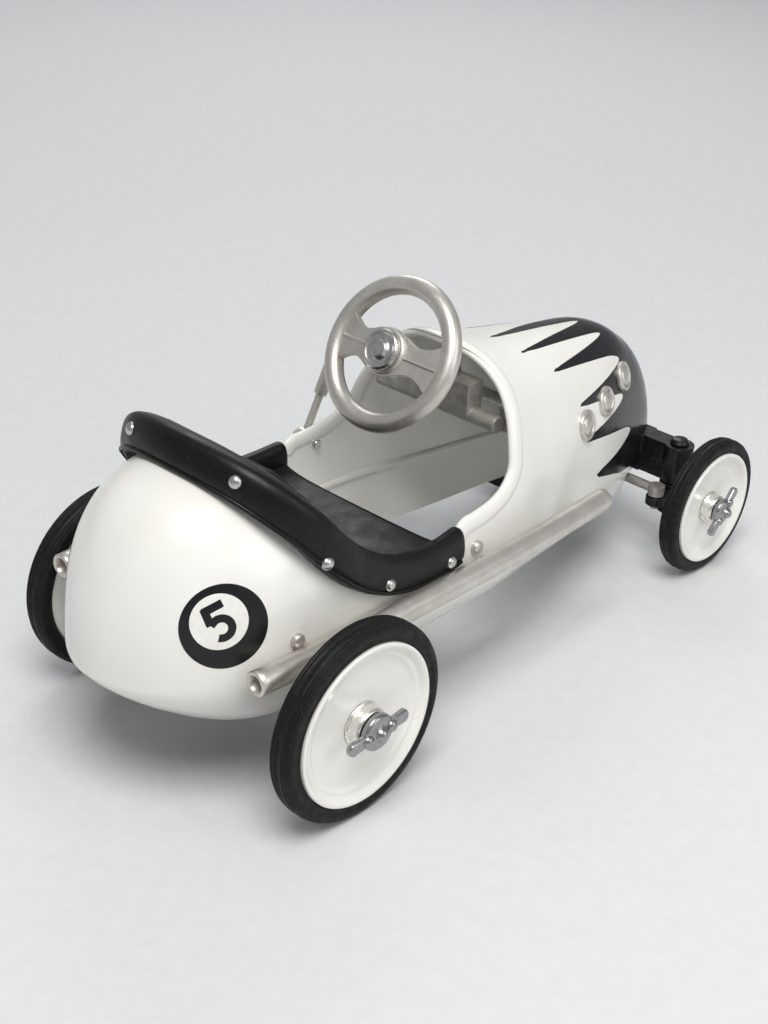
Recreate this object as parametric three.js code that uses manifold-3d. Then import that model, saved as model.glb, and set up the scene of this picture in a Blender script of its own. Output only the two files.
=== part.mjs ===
// A die-cast collector's pedal car: a boat-tailed racer with an open-bottomed body, a moulded seat with
// a padded rim, side exhausts, an outside brake lever, working steering and a live rear axle.
// Millimetres. +Z up, the nose points to -Y, +X is the car's left. The origin is on the floor under the
// middle of the car's bounding box.
import * as THREE from "three";
import { ParametricGeometry } from "three/addons/geometries/ParametricGeometry.js";
import { mergeVertices } from "three/addons/utils/BufferGeometryUtils.js";
import Module from "manifold-3d";

const wasm = await Module();
wasm.setup();

// ---------------------------------------------------------------- driving dimensions
const WHEELBASE = 110;
const REAR_AXLE_Y = 47.5;
const FRONT_AXLE_Y = REAR_AXLE_Y - WHEELBASE;
// Tyre radius and width, its outer face from the centre line, the spinner's half length and its lean at rest.
const REAR = { radius: 17.8, width: 4.6, face: 33.3, ear: 6.8, lean: -0.09 };
const FRONT = { radius: 14.4, width: 3.9, face: 26.6, ear: 5.6, lean: -0.84 };
const DISC_SHARE = 0.815; // wheel disc radius over tyre radius
const WALL = 1.5; // thickness of the body casting
const SILL_Z = 15; // flat lower edge of the body
const GAP = 0.3; // clearance between neighbouring pieces
const AXLE_R = 1.5;
const STUB_R = 1.2;
const COLUMN_R = 1.3;
const COLUMN_TILT = THREE.MathUtils.degToRad(30.5); // the column's rise towards the driver
const RIM_CENTRE = new THREE.Vector3(0, 9, 60.3); // centre of the steering wheel's rim
const RIM_R = 12.4;
const RIM_TUBE_R = 1.75;
const PIPE_R = 2.2;
const PIPE_Z = 28.6;
const STEER_ARM = 6.5; // kingpin to tie rod
const BEYOND = 60; // cutters reach this far, past the outside of the car
const SIDES = [
  ["left", 1],
  ["right", -1],
];

// ---------------------------------------------------------------- materials
const finish = (colour, roughness, metalness) =>
  new THREE.MeshStandardMaterial({ color: colour, roughness, metalness });
const WHITE_ENAMEL = finish(0xf4f3ee, 0.25, 0);
const BLACK_ENAMEL = finish(0x0a0a0c, 0.2, 0);
const BLACK_VINYL = finish(0x141315, 0.5, 0);
const RUBBER = finish(0x131313, 0.75, 0);
const SILVER_PAINT = finish(0xa9a49c, 0.38, 0.85);
const BRIGHT_METAL = finish(0xc9c9c9, 0.22, 0.95);
const GREY_METAL = finish(0x85827c, 0.5, 0.6);
const PLAIN_STEEL = finish(0x8f8f90, 0.35, 0.95);

// ---------------------------------------------------------------- solids
const toSolid = (geometry, matrix) => {
  const soup = geometry.index ? geometry.toNonIndexed() : geometry.clone();
  soup.deleteAttribute("normal");
  soup.deleteAttribute("uv");
  if (matrix) soup.applyMatrix4(matrix);
  const merged = mergeVertices(soup, 1e-4);
  return new wasm.Manifold(
    new wasm.Mesh({
      numProp: 3,
      vertProperties: merged.attributes.position.array,
      triVerts: new Uint32Array(merged.index.array),
    }),
  );
};

const toGeometry = (solid) => {
  const mesh = solid.getMesh();
  const geometry = new THREE.BufferGeometry();
  geometry.setAttribute("position", new THREE.BufferAttribute(mesh.vertProperties, 3));
  geometry.setIndex(new THREE.BufferAttribute(mesh.triVerts, 1));
  geometry.computeVertexNormals();
  return geometry;
};

const car = new THREE.Group();
const add = (name, solid, material) => {
  const mesh = new THREE.Mesh(toGeometry(solid), material);
  mesh.name = name;
  car.add(mesh);
};

const vec = (x, y, z) => new THREE.Vector3(x, y, z);
const QUARTER = Math.PI / 2;
const SHAPE_AXIS = vec(0, 1, 0); // three's cylinders and lathes stand along their own y
const UP = vec(0, 0, 1);

// Stands a shape that was made along y on a point, along a direction.
const standing = (point, direction) =>
  new THREE.Matrix4().compose(
    point,
    new THREE.Quaternion().setFromUnitVectors(SHAPE_AXIS, direction.clone().normalize()),
    vec(1, 1, 1),
  );

const block = (sx, sy, sz, x, y, z) =>
  toSolid(new THREE.BoxGeometry(sx, sy, sz), new THREE.Matrix4().makeTranslation(x, y, z));

const rod = (from, to, r, sides = 14) => {
  const along = to.clone().sub(from);
  const middle = from.clone().add(to).multiplyScalar(0.5);
  return toSolid(new THREE.CylinderGeometry(r, r, along.length(), sides), standing(middle, along));
};

// A closed profile of [radius, height] points, spun about a line through a point.
const spun = (profile, point, direction, sides) =>
  toSolid(
    new THREE.LatheGeometry(
      profile.map(([r, h]) => new THREE.Vector2(r, h)),
      sides,
    ),
    standing(point, direction),
  );

// The profile of a low dome on a short shank that starts below the surface it sits on.
const domeProfile = ({ r, rise, shank, shankDepth }, steps = 4) => {
  const points = [[0, -shankDepth], [shank, -shankDepth], [shank, 0]];
  for (let i = 0; i < steps; i++) {
    const angle = (i / steps) * QUARTER;
    points.push([r * Math.cos(angle), rise * Math.sin(angle)]);
  }
  points.push([0, rise]);
  return points;
};

// A side-view outline in (y, z), drawn through the whole width of the car.
const sidePrism = (points, halfWidth = 60) => {
  const shape = new THREE.Shape(points.map(([y, z]) => new THREE.Vector2(y, z)));
  const bar = new THREE.ExtrudeGeometry(shape, { depth: 2 * halfWidth, bevelEnabled: false });
  // The shape's x becomes +Y, its y becomes +Z, and its depth runs along +X.
  const turn = new THREE.Matrix4().makeBasis(vec(0, 1, 0), vec(0, 0, 1), vec(1, 0, 0));
  turn.setPosition(-halfWidth, 0, 0);
  return toSolid(bar, turn);
};

// A smooth function of y through a few [y, value] points.
const through = (points) => (y) => {
  const last = points.length - 1;
  if (y <= points[0][0]) return points[0][1];
  if (y >= points[last][0]) return points[last][1];
  const i = points.findIndex(([at]) => at > y) - 1;
  const slope = (k) => {
    const [a, b] = [points[Math.max(k - 1, 0)], points[Math.min(k + 1, last)]];
    return (b[1] - a[1]) / (b[0] - a[0]);
  };
  const span = points[i + 1][0] - points[i][0];
  const t = (y - points[i][0]) / span;
  const [t2, t3] = [t * t, t * t * t];
  return (
    (2 * t3 - 3 * t2 + 1) * points[i][1] +
    (t3 - 2 * t2 + t) * span * slope(i) +
    (3 * t2 - 2 * t3) * points[i + 1][1] +
    (t3 - t2) * span * slope(i + 1)
  );
};

// ---------------------------------------------------------------- body form
const HALF_WIDTH = through([
  [-70, 8],
  [-56, 10.4],
  [-42, 14],
  [-28, 16.8],
  [-14, 19.4],
  [-4, 21.3],
  [14, 22.3],
  [50, 22.4],
]);
const CREST = through([
  [-56, 50.5],
  [-34, 54.2],
  [-16, 57.4],
  [-4, 60.4],
  [8, 61.6],
  [40, 56.8],
  [55, 55.6],
]);
const WAIST = through([
  [-60, 21],
  [-45, 22.5],
  [-8, 30],
  [36, 30.8],
  [77, 24.7],
]);
const KEEL_Z = 8.3; // the body would close here if it weren't cut off at the sill
const SECTION_POWER = 2.28;
const NOSE = { start: -43.8, end: -69.5, side: 2.9, top: 2.05, bottom: 2.05 };
const TAIL = { start: 51.9, end: 76.9, side: 1.84, top: 2.32, bottom: 1.3 };

// How much of the full section is left at y, inside a rounded end.
const ease = (y, end, power, grow) => {
  const length = end.end - end.start + Math.sign(end.end) * grow;
  const share = Math.min(Math.max((y - end.start) / length, 0), 1);
  return (1 - share ** power) ** (1 / power);
};

const section = (y, grow) => {
  const waist = WAIST(y);
  const left = (key) => ease(y, NOSE, NOSE[key], grow) * ease(y, TAIL, TAIL[key], grow);
  return {
    half: (HALF_WIDTH(y) + grow) * left("side"),
    waist,
    rise: (CREST(y) - waist + grow) * left("top"),
    drop: (waist - KEEL_Z + grow) * left("bottom"),
  };
};

const power = (value) => Math.sign(value) * Math.abs(value) ** (2 / SECTION_POWER);

const bodyForm = (grow, rings = 32, around = 28) => {
  const nose = NOSE.end - grow;
  const tail = TAIL.end + grow;
  return toSolid(
    new ParametricGeometry(
      (u, v, target) => {
        const y = (nose + tail) / 2 - ((tail - nose) / 2) * Math.cos(Math.PI * u);
        const s = section(y, grow);
        const angle = 2 * Math.PI * v;
        const reach = Math.sin(angle) > 0 ? s.rise : s.drop;
        target.set(s.half * power(Math.cos(angle)), y, s.waist + reach * power(Math.sin(angle)));
      },
      rings,
      around,
    ),
  );
};

// The outside of the body at a place along its side: the point and its outward direction.
const onSide = (y, z, side) => {
  const widthAt = (yy, zz) => {
    const s = section(yy, 0);
    const share = Math.abs(zz - s.waist) / (zz > s.waist ? s.rise : s.drop);
    return s.half * (1 - Math.min(share, 1) ** SECTION_POWER) ** (1 / SECTION_POWER);
  };
  const slopeY = widthAt(y + 0.5, z) - widthAt(y - 0.5, z);
  const slopeZ = widthAt(y, z + 0.5) - widthAt(y, z - 0.5);
  return {
    point: vec(side * widthAt(y, z), y, z),
    outward: vec(side, -slopeY, -slopeZ).normalize(),
  };
};

// ---------------------------------------------------------------- seat form
// The middle of the padded rim, from its left front end to the middle of the seat back.
const RIM_PATH_LEFT = [
  [21.8, 13.2, 33.6],
  [22.3, 20, 33.1],
  [22.3, 27, 33.5],
  [22.3, 33, 35.2],
  [22.1, 39, 38.6],
  [21.7, 44.5, 43.4],
  [20.4, 48.4, 48.2],
  [17.8, 51.6, 52],
  [13, 54.2, 55.1],
  [6.8, 55.8, 56.8],
];
const rimPath = new THREE.CatmullRomCurve3([
  ...RIM_PATH_LEFT.map(([x, y, z]) => vec(x, y, z)),
  vec(0, 56.4, 57.3),
  ...RIM_PATH_LEFT.toReversed().map(([x, y, z]) => vec(-x, y, z)),
]);
const RIM_LENGTH = rimPath.getLength();
const RIM_SIDE = { thick: 1.6, tall: 3.5, lean: THREE.MathUtils.degToRad(3) }; // half sizes along the sides
const RIM_BACK = { thick: 2.9, tall: 3.35, lean: THREE.MathUtils.degToRad(20) }; // and over the seat back
const RIM_END = 2; // length over which the ends round off
const RIM_POWER = 2.7;

// The rim's local frame at a share of its length.
const rimFrame = (t) => {
  const back = Math.sin(Math.PI * t) ** 4;
  const mix = (key) => RIM_SIDE[key] + (RIM_BACK[key] - RIM_SIDE[key]) * back;
  const point = rimPath.getPointAt(t);
  const along = rimPath.getTangentAt(t);
  const out = along.clone().cross(UP).normalize();
  const rise = out.clone().cross(along);
  const [c, s] = [Math.cos(mix("lean")), Math.sin(mix("lean"))];
  return {
    point,
    along,
    outward: out.clone().multiplyScalar(c).addScaledVector(rise, s),
    upward: rise.clone().multiplyScalar(c).addScaledVector(out, -s),
    thick: mix("thick"),
    tall: mix("tall"),
  };
};

const rimForm = (grow) => {
  const endRings = 0.12; // share of the rings spent on each rounded end
  const endShare = RIM_END / RIM_LENGTH;
  const alongShare = (u) => {
    const e = Math.min(u, 1 - u);
    const near =
      e < endRings
        ? endShare * (1 - Math.cos((e / endRings) * QUARTER))
        : endShare + ((e - endRings) / (0.5 - endRings)) * (0.5 - endShare);
    return u < 0.5 ? near : 1 - near;
  };
  return toSolid(
    new ParametricGeometry(
      (u, v, target) => {
        const t = Math.min(Math.max(alongShare(u), 0), 1);
        const f = rimFrame(t);
        const e = Math.min(t, 1 - t) / endShare;
        const left = e >= 1 ? 1 : (1 - (1 - e) ** 3.2) ** (1 / 3.2);
        const angle = 2 * Math.PI * v;
        const bend = (value) => Math.sign(value) * Math.abs(value) ** (2 / RIM_POWER);
        const past = t < 0.5 ? -grow : grow; // a grown rim is longer as well
        target
          .copy(f.point)
          .addScaledVector(f.along, past * (1 - Math.min(e, 1)))
          .addScaledVector(f.outward, (f.thick + grow) * left * bend(Math.cos(angle)))
          .addScaledVector(f.upward, (f.tall + grow) * left * bend(Math.sin(angle)));
      },
      44,
      14,
    ),
  );
};

// The seat pan and back, as one bent sheet in side view.
const SEAT_SHEET = 1.8;
const SEAT_PROFILE = [
  [14, 30],
  [34, 28.6],
  [39, 29.6],
  [42.3, 33.5],
  [46, 43],
  [49.6, 52],
  [52.6, 59.5],
];

const sheetOutline = (points, thickness) => {
  const under = points.map(([y, z], i) => {
    const [a, b] = [points[Math.max(i - 1, 0)], points[Math.min(i + 1, points.length - 1)]];
    const [dy, dz] = [b[0] - a[0], b[1] - a[1]];
    const length = Math.hypot(dy, dz);
    return [y + (dz / length) * thickness, z - (dy / length) * thickness];
  });
  return [...points, ...under.toReversed()].toReversed();
};

// ---------------------------------------------------------------- cockpit outline, side view
const COWL_EDGE = [
  [14.5, 34.4],
  [12.6, 36.6],
  [9, 36.9],
  [3.5, 37.7],
  [0, 39.3],
  [-2.2, 41.6],
  [-3.4, 45.8],
  [-4.9, 50.7],
  [-5.6, 54.4],
  [-4.9, 58.2],
  [-3, 60.4],
  [0, 62.5],
  [3, 66],
];
const cockpitPrism = () => {
  const cowl = new THREE.SplineCurve(COWL_EDGE.map(([y, z]) => new THREE.Vector2(y, z)));
  const seat = RIM_PATH_LEFT.slice(1).map(([, y, z]) => [y, z - 1.5]);
  const top = 90;
  return sidePrism([
    [3, top],
    ...cowl.getPoints(24).map((p) => [p.x, p.y]).toReversed(),
    ...seat,
    [57, top],
  ]);
};

// ---------------------------------------------------------------- fittings on the body
const PORTHOLE_R = 3;
const PORTHOLES = [
  ["rear", -30.5, 39.3],
  ["middle", -39.6, 40.6],
  ["front", -49.2, 42],
];
const EXHAUST_BOLTS = [
  ["rear", 52.9],
  ["front", 9.4],
];
const BOLT_Z = PIPE_Z + PIPE_R + 0.5;
const LEVER_PIVOT = vec(0, 6.4, 34.4);
const LEVER_LEAN = vec(0, -6.5, 12.6).normalize(); // from the pivot towards the grip
const BOLT_SHANK_R = 0.8;
const PIVOT_R = 0.9;
const BUSH_R = 2.9;
const LEDGE = { z: 24.6, tall: 1.4, depth: 0.9, length: 84, y: -3 }; // lengthwise, inside each wall
const BEAM = { bottom: 17.2, top: 25.3, depth: 5.4 }; // the front axle
const KINGPIN = { x: 16.5, r: 1.1, foot: 9.2, footR: 1.9, footThick: 0.7, headR: 2.1, headFlat: 1.5 };
const TIE_ROD = { y: FRONT_AXLE_Y + STEER_ARM, z: 17, r: 1, pinR: 0.8, eyeR: 1.7, room: 7 };

// The main piece of a cut solid, without loose crumbs.
const largest = (solid) => solid.decompose().sort((a, b) => b.volume() - a.volume())[0];

const forSides = (build) => {
  for (const [word, side] of SIDES) build(word, side);
};

// ---------------------------------------------------------------- body shell
const buildBody = () => {
  const form = (grow) => bodyForm(grow, 14, 16);
  const band = block(2 * BEYOND, LEDGE.length, LEDGE.tall, 0, LEDGE.y, LEDGE.z);
  const ledge = form(GAP - WALL).subtract(form(-WALL - LEDGE.depth)).intersect(band);
  let shell = bodyForm(0).subtract(bodyForm(-WALL)).add(ledge);
  shell = shell.subtract(cockpitPrism()).subtract(rimForm(GAP));
  shell = shell.subtract(below(SILL_Z, 0, 4 * BEYOND));
  shell = shell.subtract(below(BEAM.top + GAP, FRONT_AXLE_Y, BEAM.depth + 2 * GAP));
  shell = shell.subtract(below(TIE_ROD.z + TIE_ROD.eyeR + 0.5, TIE_ROD.y, TIE_ROD.room));
  forSides((word, side) => {
    const bushAt = (x) => vec(side * x, REAR_AXLE_Y, REAR.radius);
    shell = shell.subtract(rod(bushAt(BEYOND / 6), bushAt(BEYOND), BUSH_R + GAP));
    for (const [, y, z] of PORTHOLES) shell = shell.subtract(drill(y, z, side, PORTHOLE_R + GAP));
    for (const [, y] of EXHAUST_BOLTS) shell = shell.subtract(drill(y, BOLT_Z, side, BOLT_SHANK_R + GAP));
  });
  shell = shell.subtract(drill(LEVER_PIVOT.y, LEVER_PIVOT.z, 1, PIVOT_R + GAP));
  add("body_shell", largest(shell), WHITE_ENAMEL);
};

// Everything below a height, over a length of the car.
const below = (z, y, length) => block(2 * BEYOND, length, BEYOND, 0, y, z - BEYOND / 2);

// A hole straight through one wall, square to its surface.
const drill = (y, z, side, r) => {
  const { point, outward } = onSide(y, z, side);
  return rod(
    point.clone().addScaledVector(outward, -2 * WALL),
    point.clone().addScaledVector(outward, 3 * WALL),
    r,
    18,
  );
};

// ---------------------------------------------------------------- seat
const RIVET_R = 1.15;
const RIVET_SINK = 0.15; // how far the middle of a rivet lies below the rim's outer face
const RIVET_FLAT = 0.75; // rivet height over radius
const SEAT_TOP_HALF = 10; // half width of the seat back where it joins the rim
// Name, share of the rim's length, and drop below the middle of the rim.
const RIVETS = [
  ["front", 0.035, 1.3],
  ["side", 0.15, 1.3],
  ["corner", 0.272, 2.1],
  ["back", 0.412, -0.4],
];

const rivetSpot = (t, drop, grow) => {
  const f = rimFrame(t);
  const point = f.point
    .clone()
    .addScaledVector(f.upward, -drop)
    .addScaledVector(f.outward, f.thick - RIVET_SINK);
  const r = RIVET_R + grow;
  return toSolid(
    new THREE.SphereGeometry(r, 10, 6),
    standing(point, f.outward).scale(vec(1, RIVET_FLAT, 1)),
  );
};

const buildSeat = () => {
  const room = bodyForm(-WALL - GAP - 0.05);
  const sheet = sidePrism(sheetOutline(SEAT_PROFILE, SEAT_SHEET)).intersect(room);
  // Above the body's edge the seat back carries on up into the padded rim.
  const upper = sidePrism(sheetOutline(SEAT_PROFILE.slice(4), SEAT_SHEET), SEAT_TOP_HALF);
  let seat = rimForm(0).add(sheet).add(upper);
  for (const [place, share, drop] of RIVETS) {
    for (const [word, t] of [["left", share], ["right", 1 - share]]) {
      seat = seat.subtract(rivetSpot(t, drop, GAP));
      add(`seat_rivet_${place}_${word}`, rivetSpot(t, drop, 0), BRIGHT_METAL);
    }
  }
  add("seat", largest(seat), BLACK_VINYL);
};

// ---------------------------------------------------------------- trim
const BOLT_HEAD = { r: 1.25, rise: 0.9, shank: BOLT_SHANK_R, shankDepth: 2.4 };
const buildTrim = () => {
  forSides((word, side) => {
    for (const [place, y, z] of PORTHOLES) {
      const { point, outward } = onSide(y, z, side);
      const profile = [
        [0, -1.2],
        [PORTHOLE_R, -1.2],
        [PORTHOLE_R, 0.5],
        [PORTHOLE_R - 0.6, 0.75],
        [PORTHOLE_R - 1, 0.6],
        [PORTHOLE_R - 1.6, 1.1],
        [0, 1.4],
      ];
      add(`porthole_${place}_${word}`, spun(profile, point, outward, 16), SILVER_PAINT);
    }
    for (const [place, y] of EXHAUST_BOLTS) {
      const { point, outward } = onSide(y, BOLT_Z, side);
      const base = point.clone().addScaledVector(outward, GAP + 0.05);
      const bolt = spun(domeProfile(BOLT_HEAD), base, outward, 12);
      add(`exhaust_bolt_${place}_${word}`, bolt, SILVER_PAINT);
    }
  });
};

// ---------------------------------------------------------------- exhausts
const PIPE_PATH = [
  [24.1, 63.5],
  [25.1, 44],
  [25.3, 22],
  [25.1, 0],
  [23.8, -26],
];
const PIPE_BORE = { r: 0.62 * PIPE_R, depth: 2.4 }; // in each open end

const buildExhausts = () => {
  const circle = new THREE.Shape().absarc(0, 0, PIPE_R, 0, 2 * Math.PI);
  forSides((word, side) => {
    const path = new THREE.CatmullRomCurve3(PIPE_PATH.map(([x, y]) => vec(side * x, y, PIPE_Z)));
    const pipe = toSolid(
      new THREE.ExtrudeGeometry(circle, {
        extrudePath: path,
        steps: 14,
        curveSegments: 9,
        bevelEnabled: false,
      }),
    );
    const bore = (at, inwards) => {
      const [mouth, deep] = [-1, PIPE_BORE.depth].map((h) => at.clone().addScaledVector(inwards, h));
      return rod(mouth, deep, PIPE_BORE.r, 14);
    };
    const ends = bore(path.getPoint(0), path.getTangent(0)).add(
      bore(path.getPoint(1), path.getTangent(1).negate()),
    );
    add(`exhaust_pipe_${word}`, pipe.subtract(ends), SILVER_PAINT);
  });
};

// ---------------------------------------------------------------- wheels
// A wheel's profiles are [radius, height], with height measured outwards from the middle of the tyre.
const BARREL_SHARE = 0.15; // hub sleeve radius over tyre radius
const DRUM_SHARE = 0.21; // hub drum radius over tyre radius
const DRUM_RISE_SHARE = 0.075; // height of the drum above the tyre's face, over tyre radius
const BOSS_SHARE = 0.185; // spinner boss radius over tyre radius
const EAR_SHARE = 0.072; // spinner ear's rounded tip over tyre radius
const EAR_THICK = 1.2;
const SPINNER_RISE = 2.8; // of the spinner's dome above the hub
const DISC_DISH = 1.3; // the disc's middle lies this far inside the tyre's face
const DISC_BACK = 1.1; // and its back this far behind the middle of the tyre
const DISC_EDGE = { proud: 0.4, back: 0.8, roll: 0.9, slope: 1.6 }; // the disc's rolled edge
const SHOULDER = 1.7;

const tyreProfile = ({ radius, width }) => {
  const bead = radius * DISC_SHARE + GAP;
  const half = width / 2;
  const [soft, flank] = [0.4, 0.5]; // the bead's corner
  const crown = radius - SHOULDER;
  const outline = [
    [bead, -half + soft],
    [bead + flank, -half],
    [crown, -half],
  ];
  for (let i = 1; i < 4; i++) {
    const angle = (i / 4) * Math.PI;
    outline.push([crown + SHOULDER * Math.sin(angle) ** 0.7, -half * Math.cos(angle)]);
  }
  return [...outline, [crown, half], [bead + flank, half], [bead, half - soft], outline[0]];
};

const discProfile = ({ radius, width }, bore) => {
  const edge = radius * DISC_SHARE;
  const face = width / 2 + DISC_EDGE.proud;
  const back = DISC_EDGE.back - width / 2;
  const ring = width / 2 - 0.6;
  const step = edge * 0.8;
  const outline = [
    [bore, -DISC_BACK],
    [step, -DISC_BACK],
    [edge - 1.2, back],
    [edge, back],
    [edge, face],
    [edge - DISC_EDGE.roll, face],
    [edge - DISC_EDGE.slope, ring],
    [step + 0.5, ring],
    [step, ring - 0.4],
    [bore + 1, width / 2 - DISC_DISH],
    [bore, width / 2 - DISC_DISH],
  ];
  return [...outline, outline[0]];
};

// A sleeve through the disc, with a plain round drum standing out from its face.
const hubProfile = ({ radius, width }, bore) => {
  const barrel = radius * BARREL_SHARE;
  const drum = radius * DRUM_SHARE;
  const face = width / 2 - DISC_DISH + GAP;
  const top = hubTop({ radius, width });
  const bevel = 0.4;
  const outline = [
    [bore, -width / 2],
    [barrel, -width / 2],
    [barrel, face],
    [drum, face],
    [drum, top - bevel],
    [drum - bevel, top],
    [bore, top],
  ];
  return [...outline, outline[0]];
};

const hubTop = ({ radius, width }) => width / 2 + radius * DRUM_RISE_SHARE;

// A knock-off spinner: a round boss with two rounded ears and a small dome.
const buildSpinner = (wheel, centre, side) => {
  const { radius, lean } = wheel;
  const out = vec(side, 0, 0);
  const start = hubTop(wheel) + GAP;
  const at = (h) => centre.clone().addScaledVector(out, h);
  const boss = radius * BOSS_SHARE;
  const tipR = radius * EAR_SHARE;
  const ear = wheel.ear - tipR;
  const profile = [
    [0, 0],
    [boss, 0],
    [boss, EAR_THICK],
    [boss * 0.85, SPINNER_RISE * 0.55],
    [boss * 0.4, SPINNER_RISE * 0.6],
    [boss * 0.32, SPINNER_RISE * 0.85],
    [0, SPINNER_RISE],
  ];
  let spinner = spun(profile, at(start), out, 16);
  for (const sign of [-1, 1]) {
    const tip = vec(0, Math.cos(lean) * ear * sign, Math.sin(lean) * ear * sign);
    const arm = new THREE.Matrix4().makeRotationX(lean);
    arm.setPosition(at(start + EAR_THICK / 2 + 0.1).addScaledVector(tip, 0.5));
    spinner = spinner.add(toSolid(new THREE.BoxGeometry(EAR_THICK, ear, tipR * 1.8), arm));
    const end = at(start + 0.1).add(tip);
    spinner = spinner.add(rod(end, end.clone().addScaledVector(out, EAR_THICK), tipR, 12));
  }
  return spinner;
};

const buildWheel = (name, wheel, y, side, shaft) => {
  const centre = vec(side * (wheel.face - wheel.width / 2), y, wheel.radius);
  const out = vec(side, 0, 0);
  const bore = shaft + GAP;
  const barrel = wheel.radius * BARREL_SHARE + GAP;
  add(`${name}_tyre`, spun(tyreProfile(wheel), centre, out, 34), RUBBER);
  add(`${name}_wheel_disc`, spun(discProfile(wheel, barrel), centre, out, 28), WHITE_ENAMEL);
  add(`${name}_wheel_hub`, spun(hubProfile(wheel, bore), centre, out, 20), BRIGHT_METAL);
  add(`${name}_wheel_spinner`, buildSpinner(wheel, centre, side), BRIGHT_METAL);
};

const buildWheels = () => {
  forSides((word, side) => {
    buildWheel(`rear_${word}`, REAR, REAR_AXLE_Y, side, AXLE_R);
    buildWheel(`front_${word}`, FRONT, FRONT_AXLE_Y, side, STUB_R);
  });
};

// ---------------------------------------------------------------- rear axle
const FLANGE = { r: BUSH_R + 1.3, thick: 1.4, inset: 4.2 };

const buildRearAxle = () => {
  const z = REAR.radius;
  const reach = REAR.face - REAR.width / 2 + hubTop(REAR);
  const at = (x) => vec(x, REAR_AXLE_Y, z);
  add("rear_axle", rod(at(-reach), at(reach), AXLE_R, 24), PLAIN_STEEL);
  forSides((word, side) => {
    const outer = REAR.face - REAR.width - GAP;
    const wall = onSide(REAR_AXLE_Y, z, side).point.x * side;
    // A flange inside the body's sloping wall stops the bush from sliding out.
    const flangeTop = wall - WALL - FLANGE.inset;
    const inner = flangeTop - FLANGE.thick;
    const outline = [
      [AXLE_R + GAP, inner],
      [FLANGE.r, inner],
      [FLANGE.r, flangeTop],
      [BUSH_R, flangeTop],
      [BUSH_R, outer],
      [AXLE_R + GAP, outer],
    ];
    const bush = spun([...outline, outline[0]], at(0), vec(side, 0, 0), 24);
    add(`rear_axle_bush_${word}`, bush, GREY_METAL);
  });
};

// ---------------------------------------------------------------- front axle
const BOSS_R = 3.1;
const KNUCKLE_FOOT = KINGPIN.foot + KINGPIN.footThick + GAP;
const ARM = { width: 2.6, thick: 1.8, eyeR: 2, top: TIE_ROD.z - 1.4 }; // from the knuckle to the tie rod
const PAD = { x: 18, trim: 1 }; // the beam is deeper between the body's sides than at its ends

const upright = (x, y, from, to, r, sides) => rod(vec(x, y, from), vec(x, y, to), r, sides);

const buildKingpin = (word, x) => {
  const head = BEAM.top + GAP;
  const profile = [
    [0, KINGPIN.foot],
    [KINGPIN.footR, KINGPIN.foot],
    [KINGPIN.footR, KINGPIN.foot + KINGPIN.footThick],
    [KINGPIN.r, KINGPIN.foot + KINGPIN.footThick],
    [KINGPIN.r, head],
    [KINGPIN.headR, head],
    [KINGPIN.headFlat, head + 0.9],
    [0, head + 1.1],
  ];
  add(`kingpin_${word}`, spun(profile, vec(x, FRONT_AXLE_Y, 0), UP, 24), BLACK_ENAMEL);
};

const buildKnuckle = (word, x, side) => {
  const stubEnd = FRONT.face - FRONT.width / 2 + hubTop(FRONT);
  const onAxle = (reach) => vec(reach, FRONT_AXLE_Y, FRONT.radius);
  const stub = rod(onAxle(x), onAxle(side * stubEnd), STUB_R, 16);
  const armZ = ARM.top - ARM.thick / 2;
  const arm = block(ARM.width, STEER_ARM, ARM.thick, x, FRONT_AXLE_Y + STEER_ARM / 2, armZ);
  const armEye = upright(x, TIE_ROD.y, ARM.top - ARM.thick, ARM.top, ARM.eyeR, 20);
  let knuckle = upright(x, FRONT_AXLE_Y, KNUCKLE_FOOT, BEAM.bottom - GAP, BOSS_R, 20);
  knuckle = knuckle.add(stub).add(arm).add(armEye);
  knuckle = knuckle.subtract(upright(x, FRONT_AXLE_Y, 0, BEYOND, KINGPIN.r + GAP, 16));
  knuckle = knuckle.subtract(upright(x, TIE_ROD.y, 0, BEYOND, TIE_ROD.pinR + GAP, 16));
  add(`steering_knuckle_${word}`, knuckle, BLACK_ENAMEL);
};

const buildFrontAxle = () => {
  const middle = (BEAM.bottom + BEAM.top) / 2;
  const tall = BEAM.top - BEAM.bottom;
  let beam = block(2 * KINGPIN.x, BEAM.depth - PAD.trim, tall, 0, FRONT_AXLE_Y, middle);
  beam = beam.add(block(PAD.x, BEAM.depth, tall, 0, FRONT_AXLE_Y, middle));
  forSides((word, side) => {
    beam = beam.add(upright(side * KINGPIN.x, FRONT_AXLE_Y, BEAM.bottom, BEAM.top, BOSS_R, 20));
  });
  forSides((word, side) => {
    const x = side * KINGPIN.x;
    beam = beam.subtract(upright(x, FRONT_AXLE_Y, 0, BEYOND, KINGPIN.r + GAP, 16));
    buildKingpin(word, x);
    buildKnuckle(word, x, side);
  });
  add("front_axle_beam", beam, BLACK_ENAMEL);
};

// ---------------------------------------------------------------- steering
const COLUMN_UP = vec(0, Math.cos(COLUMN_TILT), Math.sin(COLUMN_TILT)); // along the column, to the driver
const onColumn = (y) => RIM_CENTRE.clone().addScaledVector(COLUMN_UP, (y - RIM_CENTRE.y) / COLUMN_UP.y);
const PEG_R = 0.9;
const PEG_SLOT = { x: 4.3, y: 3.6, rim: 1.2, thick: 2.4 }; // in the middle of the tie rod
const SPOKE = { rise: 1.7, height: 1.1, thick: 1.2 }; // the spokes rise from the rim to the hub

// Columns and bosses placed by height above the rim's plane, towards the driver.
const onWheelAxis = (h) => RIM_CENTRE.clone().addScaledVector(COLUMN_UP, h);

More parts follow.
